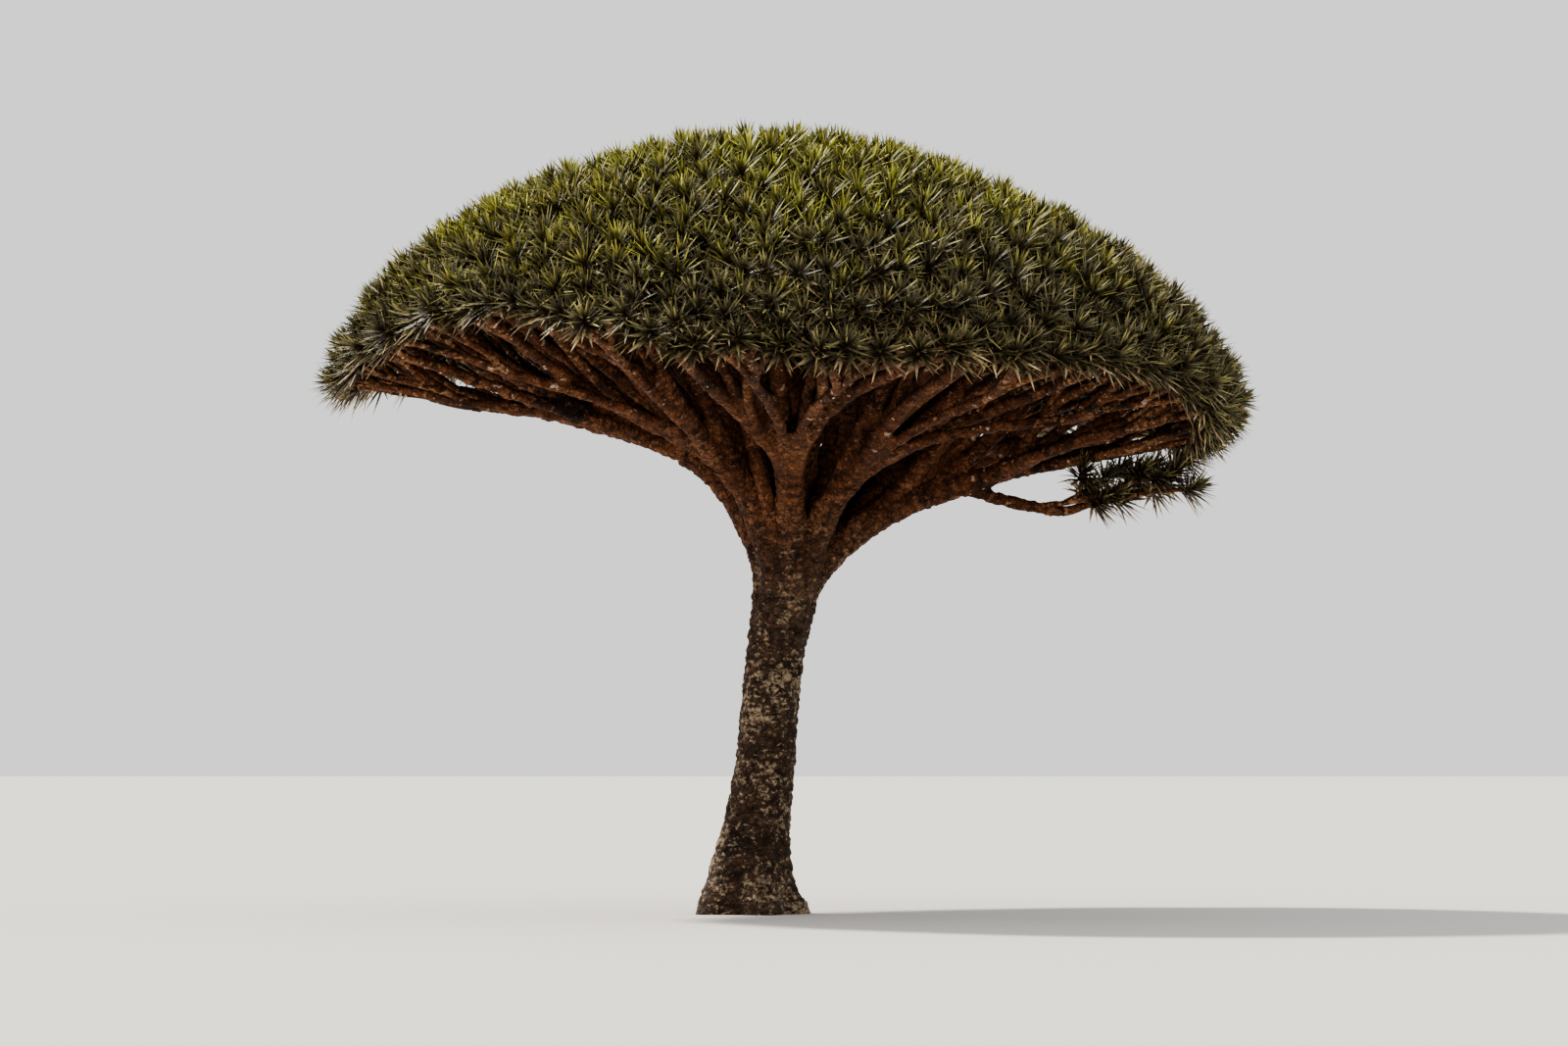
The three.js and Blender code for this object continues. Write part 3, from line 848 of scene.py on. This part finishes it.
# What a leaf's colour is multiplied by: along its length, painted shade towards the root and a painted
# highlight at the tip; from leaf to leaf, painted glints and painted shade dealt at random
LENGTH_SHADE_AND_GLINT = ((0.0, grey(0.1)), (0.3, grey(0.35)), (0.65, grey(1.0)), (1.0, grey(1.85)))
OWN_GLINT_AND_SHADE = ((0.0, (0.2, 0.17, 0.15)), (0.5, (0.7, 0.66, 0.62)), (0.8, grey(1.35)), (1.0, (2.4, 2.3, 2.15)))


def finish_tree(name):
    material = bpy.data.materials.new(name)
    material.use_nodes = True
    tree = material.node_tree
    tree.nodes.clear()
    shader = put(tree, "ShaderNodeBsdfPrincipled")
    out = put(tree, "ShaderNodeOutputMaterial")
    tree.links.new(shader.outputs[0], out.inputs["Surface"])
    return material, tree, shader


def carried(tree, name):
    """The value of that name which the mesh carries."""
    return put(tree, "ShaderNodeAttribute", attribute_name=name).outputs["Fac"]


def stepped(tree, factor, stops):
    """A colour ramp of (place, colour) stops."""
    ramp = put(tree, "ShaderNodeValToRGB", {"Fac": factor})
    elements = ramp.color_ramp.elements
    while len(elements) < len(stops):
        elements.new(0.5)
    for element, (place, colour) in zip(elements, stops):
        element.position = place
        element.color = (*colour, 1)
    return ramp.outputs[0]


def blend(tree, factor, a, b, how="MIX"):
    node = put(tree, "ShaderNodeMix", data_type="RGBA", blend_type=how)
    for key, value in ((0, factor), (6, a), (7, b)):
        if isinstance(value, bpy.types.NodeSocket):
            tree.links.new(value, node.inputs[key])
        else:
            node.inputs[key].default_value = value if key == 0 else (*value, 1)
    return node.outputs[2]


def rough_and_raised(tree, shader, roughness, height, strength, depth):
    tree.links.new(roughness, shader.inputs["Roughness"])
    relief = put(tree, "ShaderNodeBump", {"Height": height, "Strength": strength, "Distance": depth})
    tree.links.new(relief.outputs[0], shader.inputs["Normal"])


def bark_tones(tree, palette, patches, mottle, flecks):
    """Deep, main and pale bark in patches, with lighter flecks."""
    deep, main, pale, fleck = palette
    tone = stepped(tree, patches, ((0.36, deep), (0.48, main), (0.58, main), (0.7, pale)))
    shade = stepped(tree, mottle, ((0.36, grey(0.18)), (0.62, grey(1.5))))
    tone = blend(tree, 0.85, tone, shade, "MULTIPLY")
    return blend(tree, flecks, tone, fleck)


def bark_finish(name, palette, foot, patch_scale, ring_spacing, bump, light_speck_strength=0.0):
    """Bark in the palette's tones. A foot palette takes over towards the ground, broken up by patches."""
    material, tree, shader = finish_tree(name)
    place = put(tree, "ShaderNodeTexCoord").outputs["Object"]
    squat = put(tree, "ShaderNodeMapping", {"Vector": place, "Scale": (1, 1, 1.35)}).outputs[0]
    patches = speckle(tree, place, patch_scale, detail=6, roughness=0.6)
    mottle = speckle(tree, place, 9, detail=8, roughness=0.68)
    grain = speckle(tree, place, 34, detail=6, roughness=0.7)
    scales = speckle(tree, squat, 13, detail=6, roughness=0.7)
    clusters = speckle(tree, place, 2.2, detail=3, roughness=0.6)
    chips = plus(tree, scales, times(tree, swing(tree, clusters), 0.5))
    flecks = stepped(tree, chips, ((0.53, grey(0.0)), (0.6, grey(0.9))))
    plates = put(
        tree,
        "ShaderNodeTexVoronoi",
        {"Vector": place, "Scale": 11},
        feature="DISTANCE_TO_EDGE",
    ).outputs[0]
    turns = times(tree, carried(tree, "along"), math.tau / ring_spacing)
    ring = ring_lines(tree, turns, mottle, *TONE_RINGS)
    colour = bark_tones(tree, palette, patches, mottle, flecks)
    if foot:
        lower = bark_tones(tree, foot, patches, mottle, flecks)
        ragged = plus(tree, height_of(tree, place), times(tree, swing(tree, scales), 2.6))
        colour = blend(tree, share_between(tree, ragged, *FOOT_TO), lower, colour)
    if light_speck_strength:
        # Painted specks of light, on what grows out beyond the fork
        spots = speckle(tree, place, 9.5, detail=3, roughness=0.5)
        light_specks = stepped(tree, spots, ((0.655, grey(0.0)), (0.685, grey(light_speck_strength))))
        beyond = share_between(tree, level_length(tree, place), *LIGHT_SPECKS_FROM)
        colour = blend(tree, times(tree, light_specks, beyond), colour, PAINTED_LIGHT_SPECK)
    crack = stepped(tree, plates, ((0.0, grey(0.25)), (0.1, grey(1.0))))
    colour = blend(tree, 0.7, colour, crack, "MULTIPLY")
    light_grain = stepped(tree, grain, ((0.35, grey(0.55)), (0.65, grey(1.25))))
    colour = blend(tree, 0.8, colour, light_grain, "MULTIPLY")
    colour = blend(tree, times(tree, ring, 0.4), colour, palette[0])
    tree.links.new(colour, shader.inputs["Base Color"])
    roughness = plus(tree, times(tree, mottle, 0.25), 0.66)
    height = plus(tree, mottle, times(tree, grain, 0.5))
    height = plus(tree, height, times(tree, reckon(tree, "MINIMUM", plates, 0.1), 5.0))
    height = minus(tree, height, times(tree, ring, 0.3))
    rough_and_raised(tree, shader, roughness, height, 0.8, bump)
    shader.inputs["Specular IOR Level"].default_value = 0.22
    return material


def leaf_finish(name, colour, dull, rough):
    """A leaf is brown at its root, darkened there as painted shade, and palest near its tip as a painted
    highlight; each leaf is also made paler and darker at random, as painted glints and painted shade.
    """
    material, tree, shader = finish_tree(name)
    place = put(tree, "ShaderNodeTexCoord").outputs["Object"]
    wide = speckle(tree, place, 2.6, detail=3, roughness=0.55)
    fine = speckle(tree, place, 16, detail=3, roughness=0.55)
    share = plus(tree, times(tree, wide, 0.45), times(tree, fine, 0.55))
    tone = stepped(tree, share, ((0.38, dull), (0.6, colour)))
    along = carried(tree, "along")
    # Darker towards the root as painted shade, paler at the tip as a painted highlight
    tone = blend(tree, 1.0, tone, stepped(tree, along, LENGTH_SHADE_AND_GLINT), "MULTIPLY")
    # Each leaf's own painted glint and painted shade, dealt at random
    tone = blend(tree, 1.0, tone, stepped(tree, carried(tree, "shade"), OWN_GLINT_AND_SHADE), "MULTIPLY")
    # The root's own reddish brown takes over, kept dark as painted shade
    root = stepped(tree, along, ((0.08, grey(1.0)), (0.5, grey(0.0))))
    tone = blend(tree, root, tone, SHADED_LEAF_ROOT)
    tree.links.new(tone, shader.inputs["Base Color"])
    rough_and_raised(tree, shader, plus(tree, times(tree, fine, 0.25), rough), fine, 0.25, 0.01)
    shader.inputs["Specular IOR Level"].default_value = 0.4
    return material


main_bark = bark_finish("trunk and bough bark", RUST_BARK, GREY_BARK, 1.6, 0.3, 0.03)
# The last number of the branch and twig finishes is how strong their painted specks of light are
branch_bark = bark_finish("branch bark", RUST_BARK, None, 1.3, 0.22, 0.02, 0.8)
twig_bark = bark_finish("twig bark", TWIG_BARK, None, 1.5, 0.16, 0.012, 0.9)
# The sunlit, green and deep finishes are one leaf painted paler and darker by how much sun its rosette
# gets: painted light and painted shade
LEAF_FINISHES = {
    "sunlit": leaf_finish("sunlit leaf", (0.34, 0.342, 0.066), (0.185, 0.192, 0.036), 0.4),
    "green": leaf_finish("green leaf", (0.24, 0.225, 0.055), (0.1, 0.1, 0.022), 0.4),
    "deep": leaf_finish("deep green leaf", (0.19, 0.172, 0.07), (0.066, 0.058, 0.024), 0.42),
    "olive": leaf_finish("olive old leaf", (0.12, 0.105, 0.035), (0.05, 0.045, 0.018), 0.42),
    # Brown where dull, as old leaves are; the pale straw is a painted glint
    "brown": leaf_finish("brown old leaf", (0.41, 0.33, 0.2), (0.11, 0.076, 0.04), 0.45),
}


# Bark pieces


def smooth_through(stops, values, place):
    """A smooth curve through the trunk's rings."""
    stops = np.array(stops, float)
    values = np.array(values, float)
    slope = np.gradient(values, stops)
    i = int(np.clip(np.searchsorted(stops, place, side="right") - 1, 0, len(stops) - 2))
    gap = stops[i + 1] - stops[i]
    t = (place - stops[i]) / gap
    a = 2 * t**3 - 3 * t**2 + 1
    b = t**3 - 2 * t**2 + t
    c = 3 * t**2 - 2 * t**3
    d = t**3 - t**2
    return float(a * values[i] + b * gap * slope[i] + c * values[i + 1] + d * gap * slope[i + 1])


def trunk_centre(height):
    heights, centres, _ = zip(*TRUNK_RINGS)
    return float(np.interp(height, heights, centres))


def trunk_shell():
    heights, centres, girths = zip(*TRUNK_RINGS)
    core_foot, core_top, core_share = HEAD_CORE
    shell = bmesh.new()
    rings = []
    for level in (-BELOW_GROUND, *np.arange(0, heights[-1], TRUNK_STEP), heights[-1]):
        height = max(level, 0.0)
        centre = smooth_through(heights, centres, height)
        girth = smooth_through(heights, girths, height)
        # The boughs' ridges stand out of a thinner head
        girth *= mix(1, core_share, clamped((height - core_foot) / (core_top - core_foot)))
        ring = []
        for i in range(TRUNK_SIDES):
            angle = math.tau * i / TRUNK_SIDES
            ribs = RIB_SHARE * math.exp(-height / RIB_FALL) * math.cos(ROOT_RIBS * angle)
            radius = girth * (1 + ribs)
            place = (centre + radius * math.cos(angle), radius * math.sin(angle), level)
            ring.append(shell.verts.new(place))
        rings.append(ring)
    for low, high in zip(rings, rings[1:]):
        for i in range(TRUNK_SIDES):
            j = (i + 1) % TRUNK_SIDES
            shell.faces.new((low[i], low[j], high[j], high[i]))
    shell.faces.new(rings[0][::-1])
    shell.faces.new(rings[-1])
    return shell


def with_flute(limb):
    """A bough's places and radii, with the ridge that carries it down into the trunk."""
    away = limb.places[0] - Vector((trunk_centre(limb.places[0].z), 0, limb.places[0].z))
    away.z = 0
    away.normalize()
    places = []
    radii = []
    for height, distance, radius in FLUTE_RINGS:
        places.append(Vector((trunk_centre(height), 0, height)) + away * distance)
        radii.append(radius)
    return places + limb.places, radii + limb.radii


def fused(name, source, voxel, turns):
    """One skin round everything in a mesh, smoothed."""
    skin = source.modifiers.new("one skin", "REMESH")
    skin.mode = "VOXEL"
    skin.voxel_size = voxel
    eased = source.modifiers.new("eased", "SMOOTH")
    eased.factor = SMOOTHING
    eased.iterations = turns
    return settled(source, name)


def cut_at_ground(piece):
    shell = bmesh.new()
    shell.from_mesh(piece.data)
    cut = bmesh.ops.bisect_plane(
        shell,
        geom=shell.verts[:] + shell.edges[:] + shell.faces[:],
        plane_co=(0, 0, 0),
        plane_no=(0, 0, 1),
        clear_inner=True,
    )
    edges = [item for item in cut["geom_cut"] if isinstance(item, bmesh.types.BMEdge)]
    bmesh.ops.contextual_create(shell, geom=edges)
    bmesh.ops.recalc_face_normals(shell, faces=shell.faces[:])
    shell.to_mesh(piece.data)
    shell.free()


def mark_lengths(piece, lines):
    """Gives each vertex how far along its limb it lies, from the two places that are nearest."""
    tree = place_tree([place for line in lines for place in line])
    walked = [length for line in lines for length in lengths_along(line)]
    lengths = np.zeros(len(piece.data.vertices), np.float32)
    for i, vertex in enumerate(piece.data.vertices):
        near = tree.find_n(vertex.co, 2)
        weights = [1 / (distance + 1e-4) ** 4 for _, _, distance in near]
        lengths[i] = sum(walked[index] * w for (_, index, _), w in zip(near, weights)) / sum(weights)
    old = piece.data.attributes.get("along")
    if old:
        piece.data.attributes.remove(old)
    store(piece.data, "along", lengths)


def relief_tree():
    """Lumps, furrows and ring scars pushed into the bark along its normals."""
    sockets = [(label, "Float") for label in TRUNK_RELIEF] + [("Bark", "Material")]
    tree, given, result = shape_tree("bark relief", sockets)
    place = put(tree, "GeometryNodeInputPosition").outputs[0]
    normal = put(tree, "GeometryNodeInputNormal").outputs[0]
    lump_scale = reckon(tree, "DIVIDE", 1.0, given["Lump Size"])
    furrow_scale = reckon(tree, "DIVIDE", 1.0, given["Furrow Size"])
    lumps = speckle(tree, place, lump_scale, detail=3, roughness=0.5)
    furrows = speckle(tree, place, furrow_scale, detail=4, roughness=0.5)
    turns = reckon(tree, "DIVIDE", times(tree, attribute(tree, "along"), math.pi), given["Ring Spacing"])
    ring = ring_lines(tree, turns, lumps, *RELIEF_RINGS)
    push = times(tree, swing(tree, lumps), given["Lump Depth"])
    ridge = reckon(tree, "ABSOLUTE", swing(tree, furrows))
    push = plus(tree, push, times(tree, ridge, given["Furrow Depth"]))
    push = minus(tree, push, times(tree, ring, given["Ring Depth"]))
    push = times(tree, push, share_between(tree, height_of(tree, place), 0.0, given["Ground Fade"]))
    skin = moved(tree, given["Geometry"], scaled(tree, normal, push))
    skin = clad(tree, realized(tree, skin), given["Bark"])
    tree.links.new(skin, result["Geometry"])
    return tree


tubes = tube_tree()
relief = relief_tree()


def in_relief(name, skin, lines, sizes, bark):
    mark_lengths(skin, lines)
    piece = grown(skin, name, relief, {**sizes, "Bark": bark})
    piece.data.shade_smooth()
    return piece


def trunk_piece(name):
    """The trunk and the boughs, in one skin that is cut flat at the ground."""
    runs = [with_flute(limb) for limb in outer] + runs_of(inner)
    source = grown(skeleton(name, runs), name, tubes, {"Sides": BOUGH_SIDES, "Bark": main_bark})
    shell = trunk_shell()
    shell.from_mesh(source.data)
    shell.to_mesh(source.data)
    shell.free()
    skin = fused(name, source, *TRUNK_SKIN)
    cut_at_ground(skin)
    centres = [Vector((centre, 0, height)) for height, centre, _ in TRUNK_RINGS]
    shares = [i / TRUNK_LINE_STEPS for i in range(TRUNK_LINE_STEPS)]
    line = [a.lerp(b, share) for a, b in zip(centres, centres[1:]) for share in shares]
    return in_relief(name, skin, [line] + [limb.places for limb in outer + inner], TRUNK_RELIEF, main_bark)


def branch_piece(region):
    """The branches and thick twigs of a region of the crown, in one skin, and the limbs that they are."""
    name = "branches_" + region
    branches = [mass.branch for mass in masses if mass.region == region]
    thick = [twig for twig in all_twigs if twig.swell >= THICK_TWIG and twig.region == region]
    runs = runs_of(branches + thick)
    source = grown(skeleton(name, runs), name, tubes, {"Sides": BRANCH_SIDES, "Bark": branch_bark})
    skin = fused(name, source, *BRANCH_SKIN)
    piece = in_relief(name, skin, [places for places, _ in runs], BRANCH_RELIEF, branch_bark)
    return piece, [branch.name for branch in branches]


def twig_piece(name, twigs, sides):
    piece = grown(skeleton(name, runs_of(twigs)), name, tubes, {"Sides": sides, "Bark": twig_bark})
    piece.data.shade_smooth()
    return piece


thin = [twig for twig in all_twigs if twig.swell < THICK_TWIG and not twig.last]
ends = [twig for twig in all_twigs if twig.last]
trunk = trunk_piece("trunk_and_boughs")
forks = [branch_piece(region) for region in (*REGIONS, "upper")]
fine_twigs = twig_piece("twigs", thin, TWIG_SIDES)
twig_ends = twig_piece("twig_ends", ends, TWIG_END_SIDES)


# Leaves


def sword_leaf():
    """One stiff leaf along +Z with its upper side towards +Y: three sides, a keel behind, and a point."""
    places = []
    for share, width, keel in LEAF_STATIONS:
        half = LEAF_HALF_WIDTH * width
        edge = LEAF_EDGE_RISE * half
        back = -keel * LEAF_HALF_WIDTH - LEAF_KEEL_DROP * half
        places += [(-half, edge, share), (half, edge, share), (0, back, share)]
    places.append((0, 0, 1))
    faces = [(0, 1, 2), (0, 3, 4, 1), (1, 4, 5, 2), (2, 5, 3, 0), (3, 6, 4), (4, 6, 5), (5, 6, 3)]
    mesh = bpy.data.meshes.new("sword leaf")
    mesh.from_pydata(places, [], faces)
    store(mesh, "along", [place[2] for place in places])
    return shown("sword leaf", mesh)


def spray_tree():
    """A rosette of leaves round each point's aim, in a spiral from its heart outwards."""
    sizes = ("Leaf Length", "First", "Last", "Leaf Width", "Cone End", "Stem", "Sag")
    sockets = [("Leaf", "Object"), ("Leaves", "Int")] + [(label, "Float") for label in sizes]
    sockets += [("Seed", "Int"), ("Finish", "Material")]
    tree, given, result = shape_tree("leaf sprays", sockets)

    def chance(low, high, salt):
        node = put(tree, "FunctionNodeRandomValue", {2: low, 3: high}, data_type="FLOAT")
        tree.links.new(plus(tree, given["Seed"], salt), node.inputs["Seed"])
        return node.outputs[1]

    def aligned(axis, inputs, **settings):
        return put(tree, "FunctionNodeAlignRotationToVector", inputs, axis=axis, **settings).outputs[0]

    # A point for each leaf
    points = put(tree, "GeometryNodeMeshToPoints", {"Mesh": given["Geometry"]}).outputs[0]
    copies = put(
        tree,
        "GeometryNodeDuplicateElements",
        {"Geometry": points, "Amount": given["Leaves"]},
        domain="POINT",
    )
    order = copies.outputs["Duplicate Index"]
    aim = attribute(tree, "aim", "FLOAT_VECTOR")
    spin = attribute(tree, "spin")

    # Where each leaf points: the further from the rosette's heart, the more it leans out
    step = reckon(tree, "DIVIDE", plus(tree, order, 0.5), given["Leaves"])
    span = minus(tree, given["Last"], given["First"])
    share = plus(tree, given["First"], times(tree, step, span))
    fall = times(tree, share, minus(tree, 1.0, given["Cone End"]))
    cosine = plus(tree, minus(tree, 1.0, fall), chance(-LEAN_CHANCE, LEAN_CHANCE, 1.0))
    cosine = reckon(tree, "MINIMUM", cosine, MOST_UPRIGHT)
    sine = reckon(tree, "SQRT", minus(tree, 1.0, times(tree, cosine, cosine)))
    angle = plus(tree, times(tree, order, GOLDEN_ANGLE), spin)
    angle = plus(tree, angle, chance(-TURN_CHANCE, TURN_CHANCE, 2.0))
    x = times(tree, sine, reckon(tree, "COSINE", angle))
    y = times(tree, sine, reckon(tree, "SINE", angle))
    local = put(tree, "ShaderNodeCombineXYZ", {0: x, 1: y, 2: cosine}).outputs[0]
    upright = aligned("Z", {"Vector": aim})
    out = put(tree, "FunctionNodeRotateVector", {"Vector": local, "Rotation": upright}).outputs[0]
    turn = aligned("Y", {"Rotation": aligned("Z", {"Vector": out}), "Vector": aim}, pivot_axis="Z")

    # Where it sits, how far it sags, its own painted glint and painted shade, and its size
    sag = times(tree, times(tree, level_length(tree, out), share), given["Sag"])
    points = stored(tree, copies.outputs["Geometry"], "sag", sag)
    back = times(tree, minus(tree, STEM_MIDDLE, share), given["Stem"])
    points = moved(tree, points, scaled(tree, aim, back))
    # A random value for each leaf, which its finish turns into painted glints and painted shade
    points = stored(tree, points, "shade", chance(0.0, 1.0, 5.0))
    growth = times(tree, reckon(tree, "MINIMUM", share, HEART_END), HEART_GROWTH)
    full = times(tree, given["Leaf Length"], plus(tree, HEART_LENGTH, growth))
    length = times(tree, full, chance(*LENGTH_CHANCE, 3.0))
    wide = times(tree, given["Leaf Width"], chance(*WIDTH_CHANCE, 4.0))
    size = put(tree, "ShaderNodeCombineXYZ", {0: wide, 1: wide, 2: length}).outputs[0]

    leaf = put(tree, "GeometryNodeObjectInfo", {"Object": given["Leaf"]}).outputs["Geometry"]
    leaves = put(
        tree,
        "GeometryNodeInstanceOnPoints",
        {"Points": points, "Instance": leaf, "Rotation": turn, "Scale": size},
    ).outputs[0]
    leaves = realized(tree, leaves)
    along = attribute(tree, "along")
    drop = times(tree, times(tree, along, along), attribute(tree, "sag"))
    drop = put(tree, "ShaderNodeCombineXYZ", {2: times(tree, drop, -1.0)}).outputs[0]
    leaves = clad(tree, moved(tree, leaves, drop), given["Finish"])
    tree.links.new(leaves, result["Geometry"])
    return tree


def spray_points(name, group):
    """A point for each rosette, with its aim and its turn."""
    mesh = bpy.data.meshes.new(name)
    mesh.from_pydata([end for _, end, _, _ in group], [], [])
    store(mesh, "aim", [value for _, _, aim, _ in group for value in aim], "FLOAT_VECTOR")
    store(mesh, "spin", [spin for _, _, _, spin in group])
    return shown(name, mesh)


def exposure(end, aim):
    """How much sun a rosette gets: most on the top and on the left side."""
    for_height, for_aim, for_left = SUN_WEIGHTS
    left = (CROWN_AXIS_X - end.x) / CROWN_RADIUS
    return for_height * end.z / TREE_HEIGHT + for_aim * aim.z + for_left * left


sprays = spray_tree()
leaf = sword_leaf()
dealer = random.Random(DEAL_SEED)
dealt = []
for end, aim in all_rosettes:
    sun = exposure(end, aim) + dealer.uniform(-SUN_CHANCE, SUN_CHANCE)
    dealt.append((sun, end, aim, dealer.uniform(0, math.tau)))
dealt.sort(key=lambda row: -row[0])
leaf_pieces = []


def leaf_group(name, group, finish, leaves, width, first, last):
    piece = grown(
        spray_points(name + " points", group),
        name,
        sprays,
        {
            "Leaf": leaf,
            "Leaves": leaves,
            "Leaf Length": LEAF_LENGTH,
            "Leaf Width": width,
            "First": first,
            "Last": last,
            "Cone End": CONE_END,
            "Stem": ROSETTE_STEM,
            "Sag": LEAF_SAG,
            "Seed": len(leaf_pieces),
            "Finish": LEAF_FINISHES[finish],
        },
    )
    leaf_pieces.append(piece)


def dealt_between(low, high):
    return dealt[round(low * len(dealt)) : round(high * len(dealt))]


for finish, low, high in UPPER_DEAL:
    group = dealt_between(low, high)
    half = (len(group) + 1) // 2
    parts = (group[:half], group[half:]) if len(group) > MOST_SPRAYS else (group,)
    for i, part in enumerate(parts):
        leaf_group(f"leaves_{finish}_{i + 1}", part, finish, UPPER_LEAVES, 1.0, 0.0, SKIRT_FROM)
for finish, low, high in SKIRT_DEAL:
    group = dealt_between(low, high)
    leaf_group(f"old_leaves_{finish}", group, finish, SKIRT_LEAVES, SKIRT_WIDTH, SKIRT_FROM, 1.0)
bpy.data.objects.remove(leaf)

# The parts that the pieces replace are hidden, and each piece hangs from the root body
trunk_nodes = ["trunk"] + [limb.name for limb in outer + inner]
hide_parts(*trunk_nodes)
for piece, names in forks:
    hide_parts(*names)
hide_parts(*["foliage_" + mass.name for mass in masses])
bark_pieces = [trunk, fine_twigs, twig_ends] + [piece for piece, _ in forks]
for piece in bark_pieces + leaf_pieces:
    if "girth" in piece.data.attributes:
        piece.data.attributes.remove(piece.data.attributes["girth"])
    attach(piece, "root")

# Floor, light and camera
FLOOR_REACH = 600
FLOOR_LEVEL = -0.002
FLOOR_COLOUR = (0.6, 0.58, 0.55)
SKY_COLOUR = (0.94, 0.935, 0.93)
KEY_STRENGTH = 5.3
KEY_WIDTH = math.radians(5)
KEY_COLOUR = (1.0, 0.95, 0.86)
KEY_HEADING = (0.56, -0.32, -0.77)
EYE = (0.34, -54.7, 1.7)
SIGHT = (CROWN_AXIS_X, 0, 4.45)
LENS = 110
SENSOR_WIDTH = 36
VIEW_END = 2000

corners = [(x * FLOOR_REACH, y * FLOOR_REACH, FLOOR_LEVEL) for x, y in ((-1, -1), (1, -1), (1, 1), (-1, 1))]
floor_mesh = bpy.data.meshes.new("floor")
floor_mesh.from_pydata(corners, [], [(0, 1, 2, 3)])
floor = shown("floor", floor_mesh)
floor_finish, _, floor_shader = finish_tree("pale floor")
floor_shader.inputs["Base Color"].default_value = (*FLOOR_COLOUR, 1)
floor_shader.inputs["Roughness"].default_value = 0.9
floor.data.materials.append(floor_finish)

world = bpy.data.worlds.new("studio")
world.use_nodes = True
bpy.context.scene.world = world
world.node_tree.nodes["Background"].inputs["Color"].default_value = (*SKY_COLOUR, 1)
world.node_tree.nodes["Background"].inputs["Strength"].default_value = 1.0

bpy.context.scene.view_settings.look = "AgX - Medium High Contrast"

key = bpy.data.lights.new("key light", "SUN")
key.energy = KEY_STRENGTH
key.angle = KEY_WIDTH
key.color = KEY_COLOUR
key_light = bpy.data.objects.new("key light", key)
key_light.rotation_euler = Vector(KEY_HEADING).to_track_quat("-Z", "Y").to_euler()
bpy.context.scene.collection.objects.link(key_light)

lens = bpy.data.cameras.new("camera")
lens.lens = LENS
lens.sensor_width = SENSOR_WIDTH
lens.clip_end = VIEW_END
camera = bpy.data.objects.new("camera", lens)
camera.location = EYE
camera.rotation_euler = (Vector(SIGHT) - camera.location).to_track_quat("-Z", "Y").to_euler()
bpy.context.scene.collection.objects.link(camera)
bpy.context.scene.camera = camera
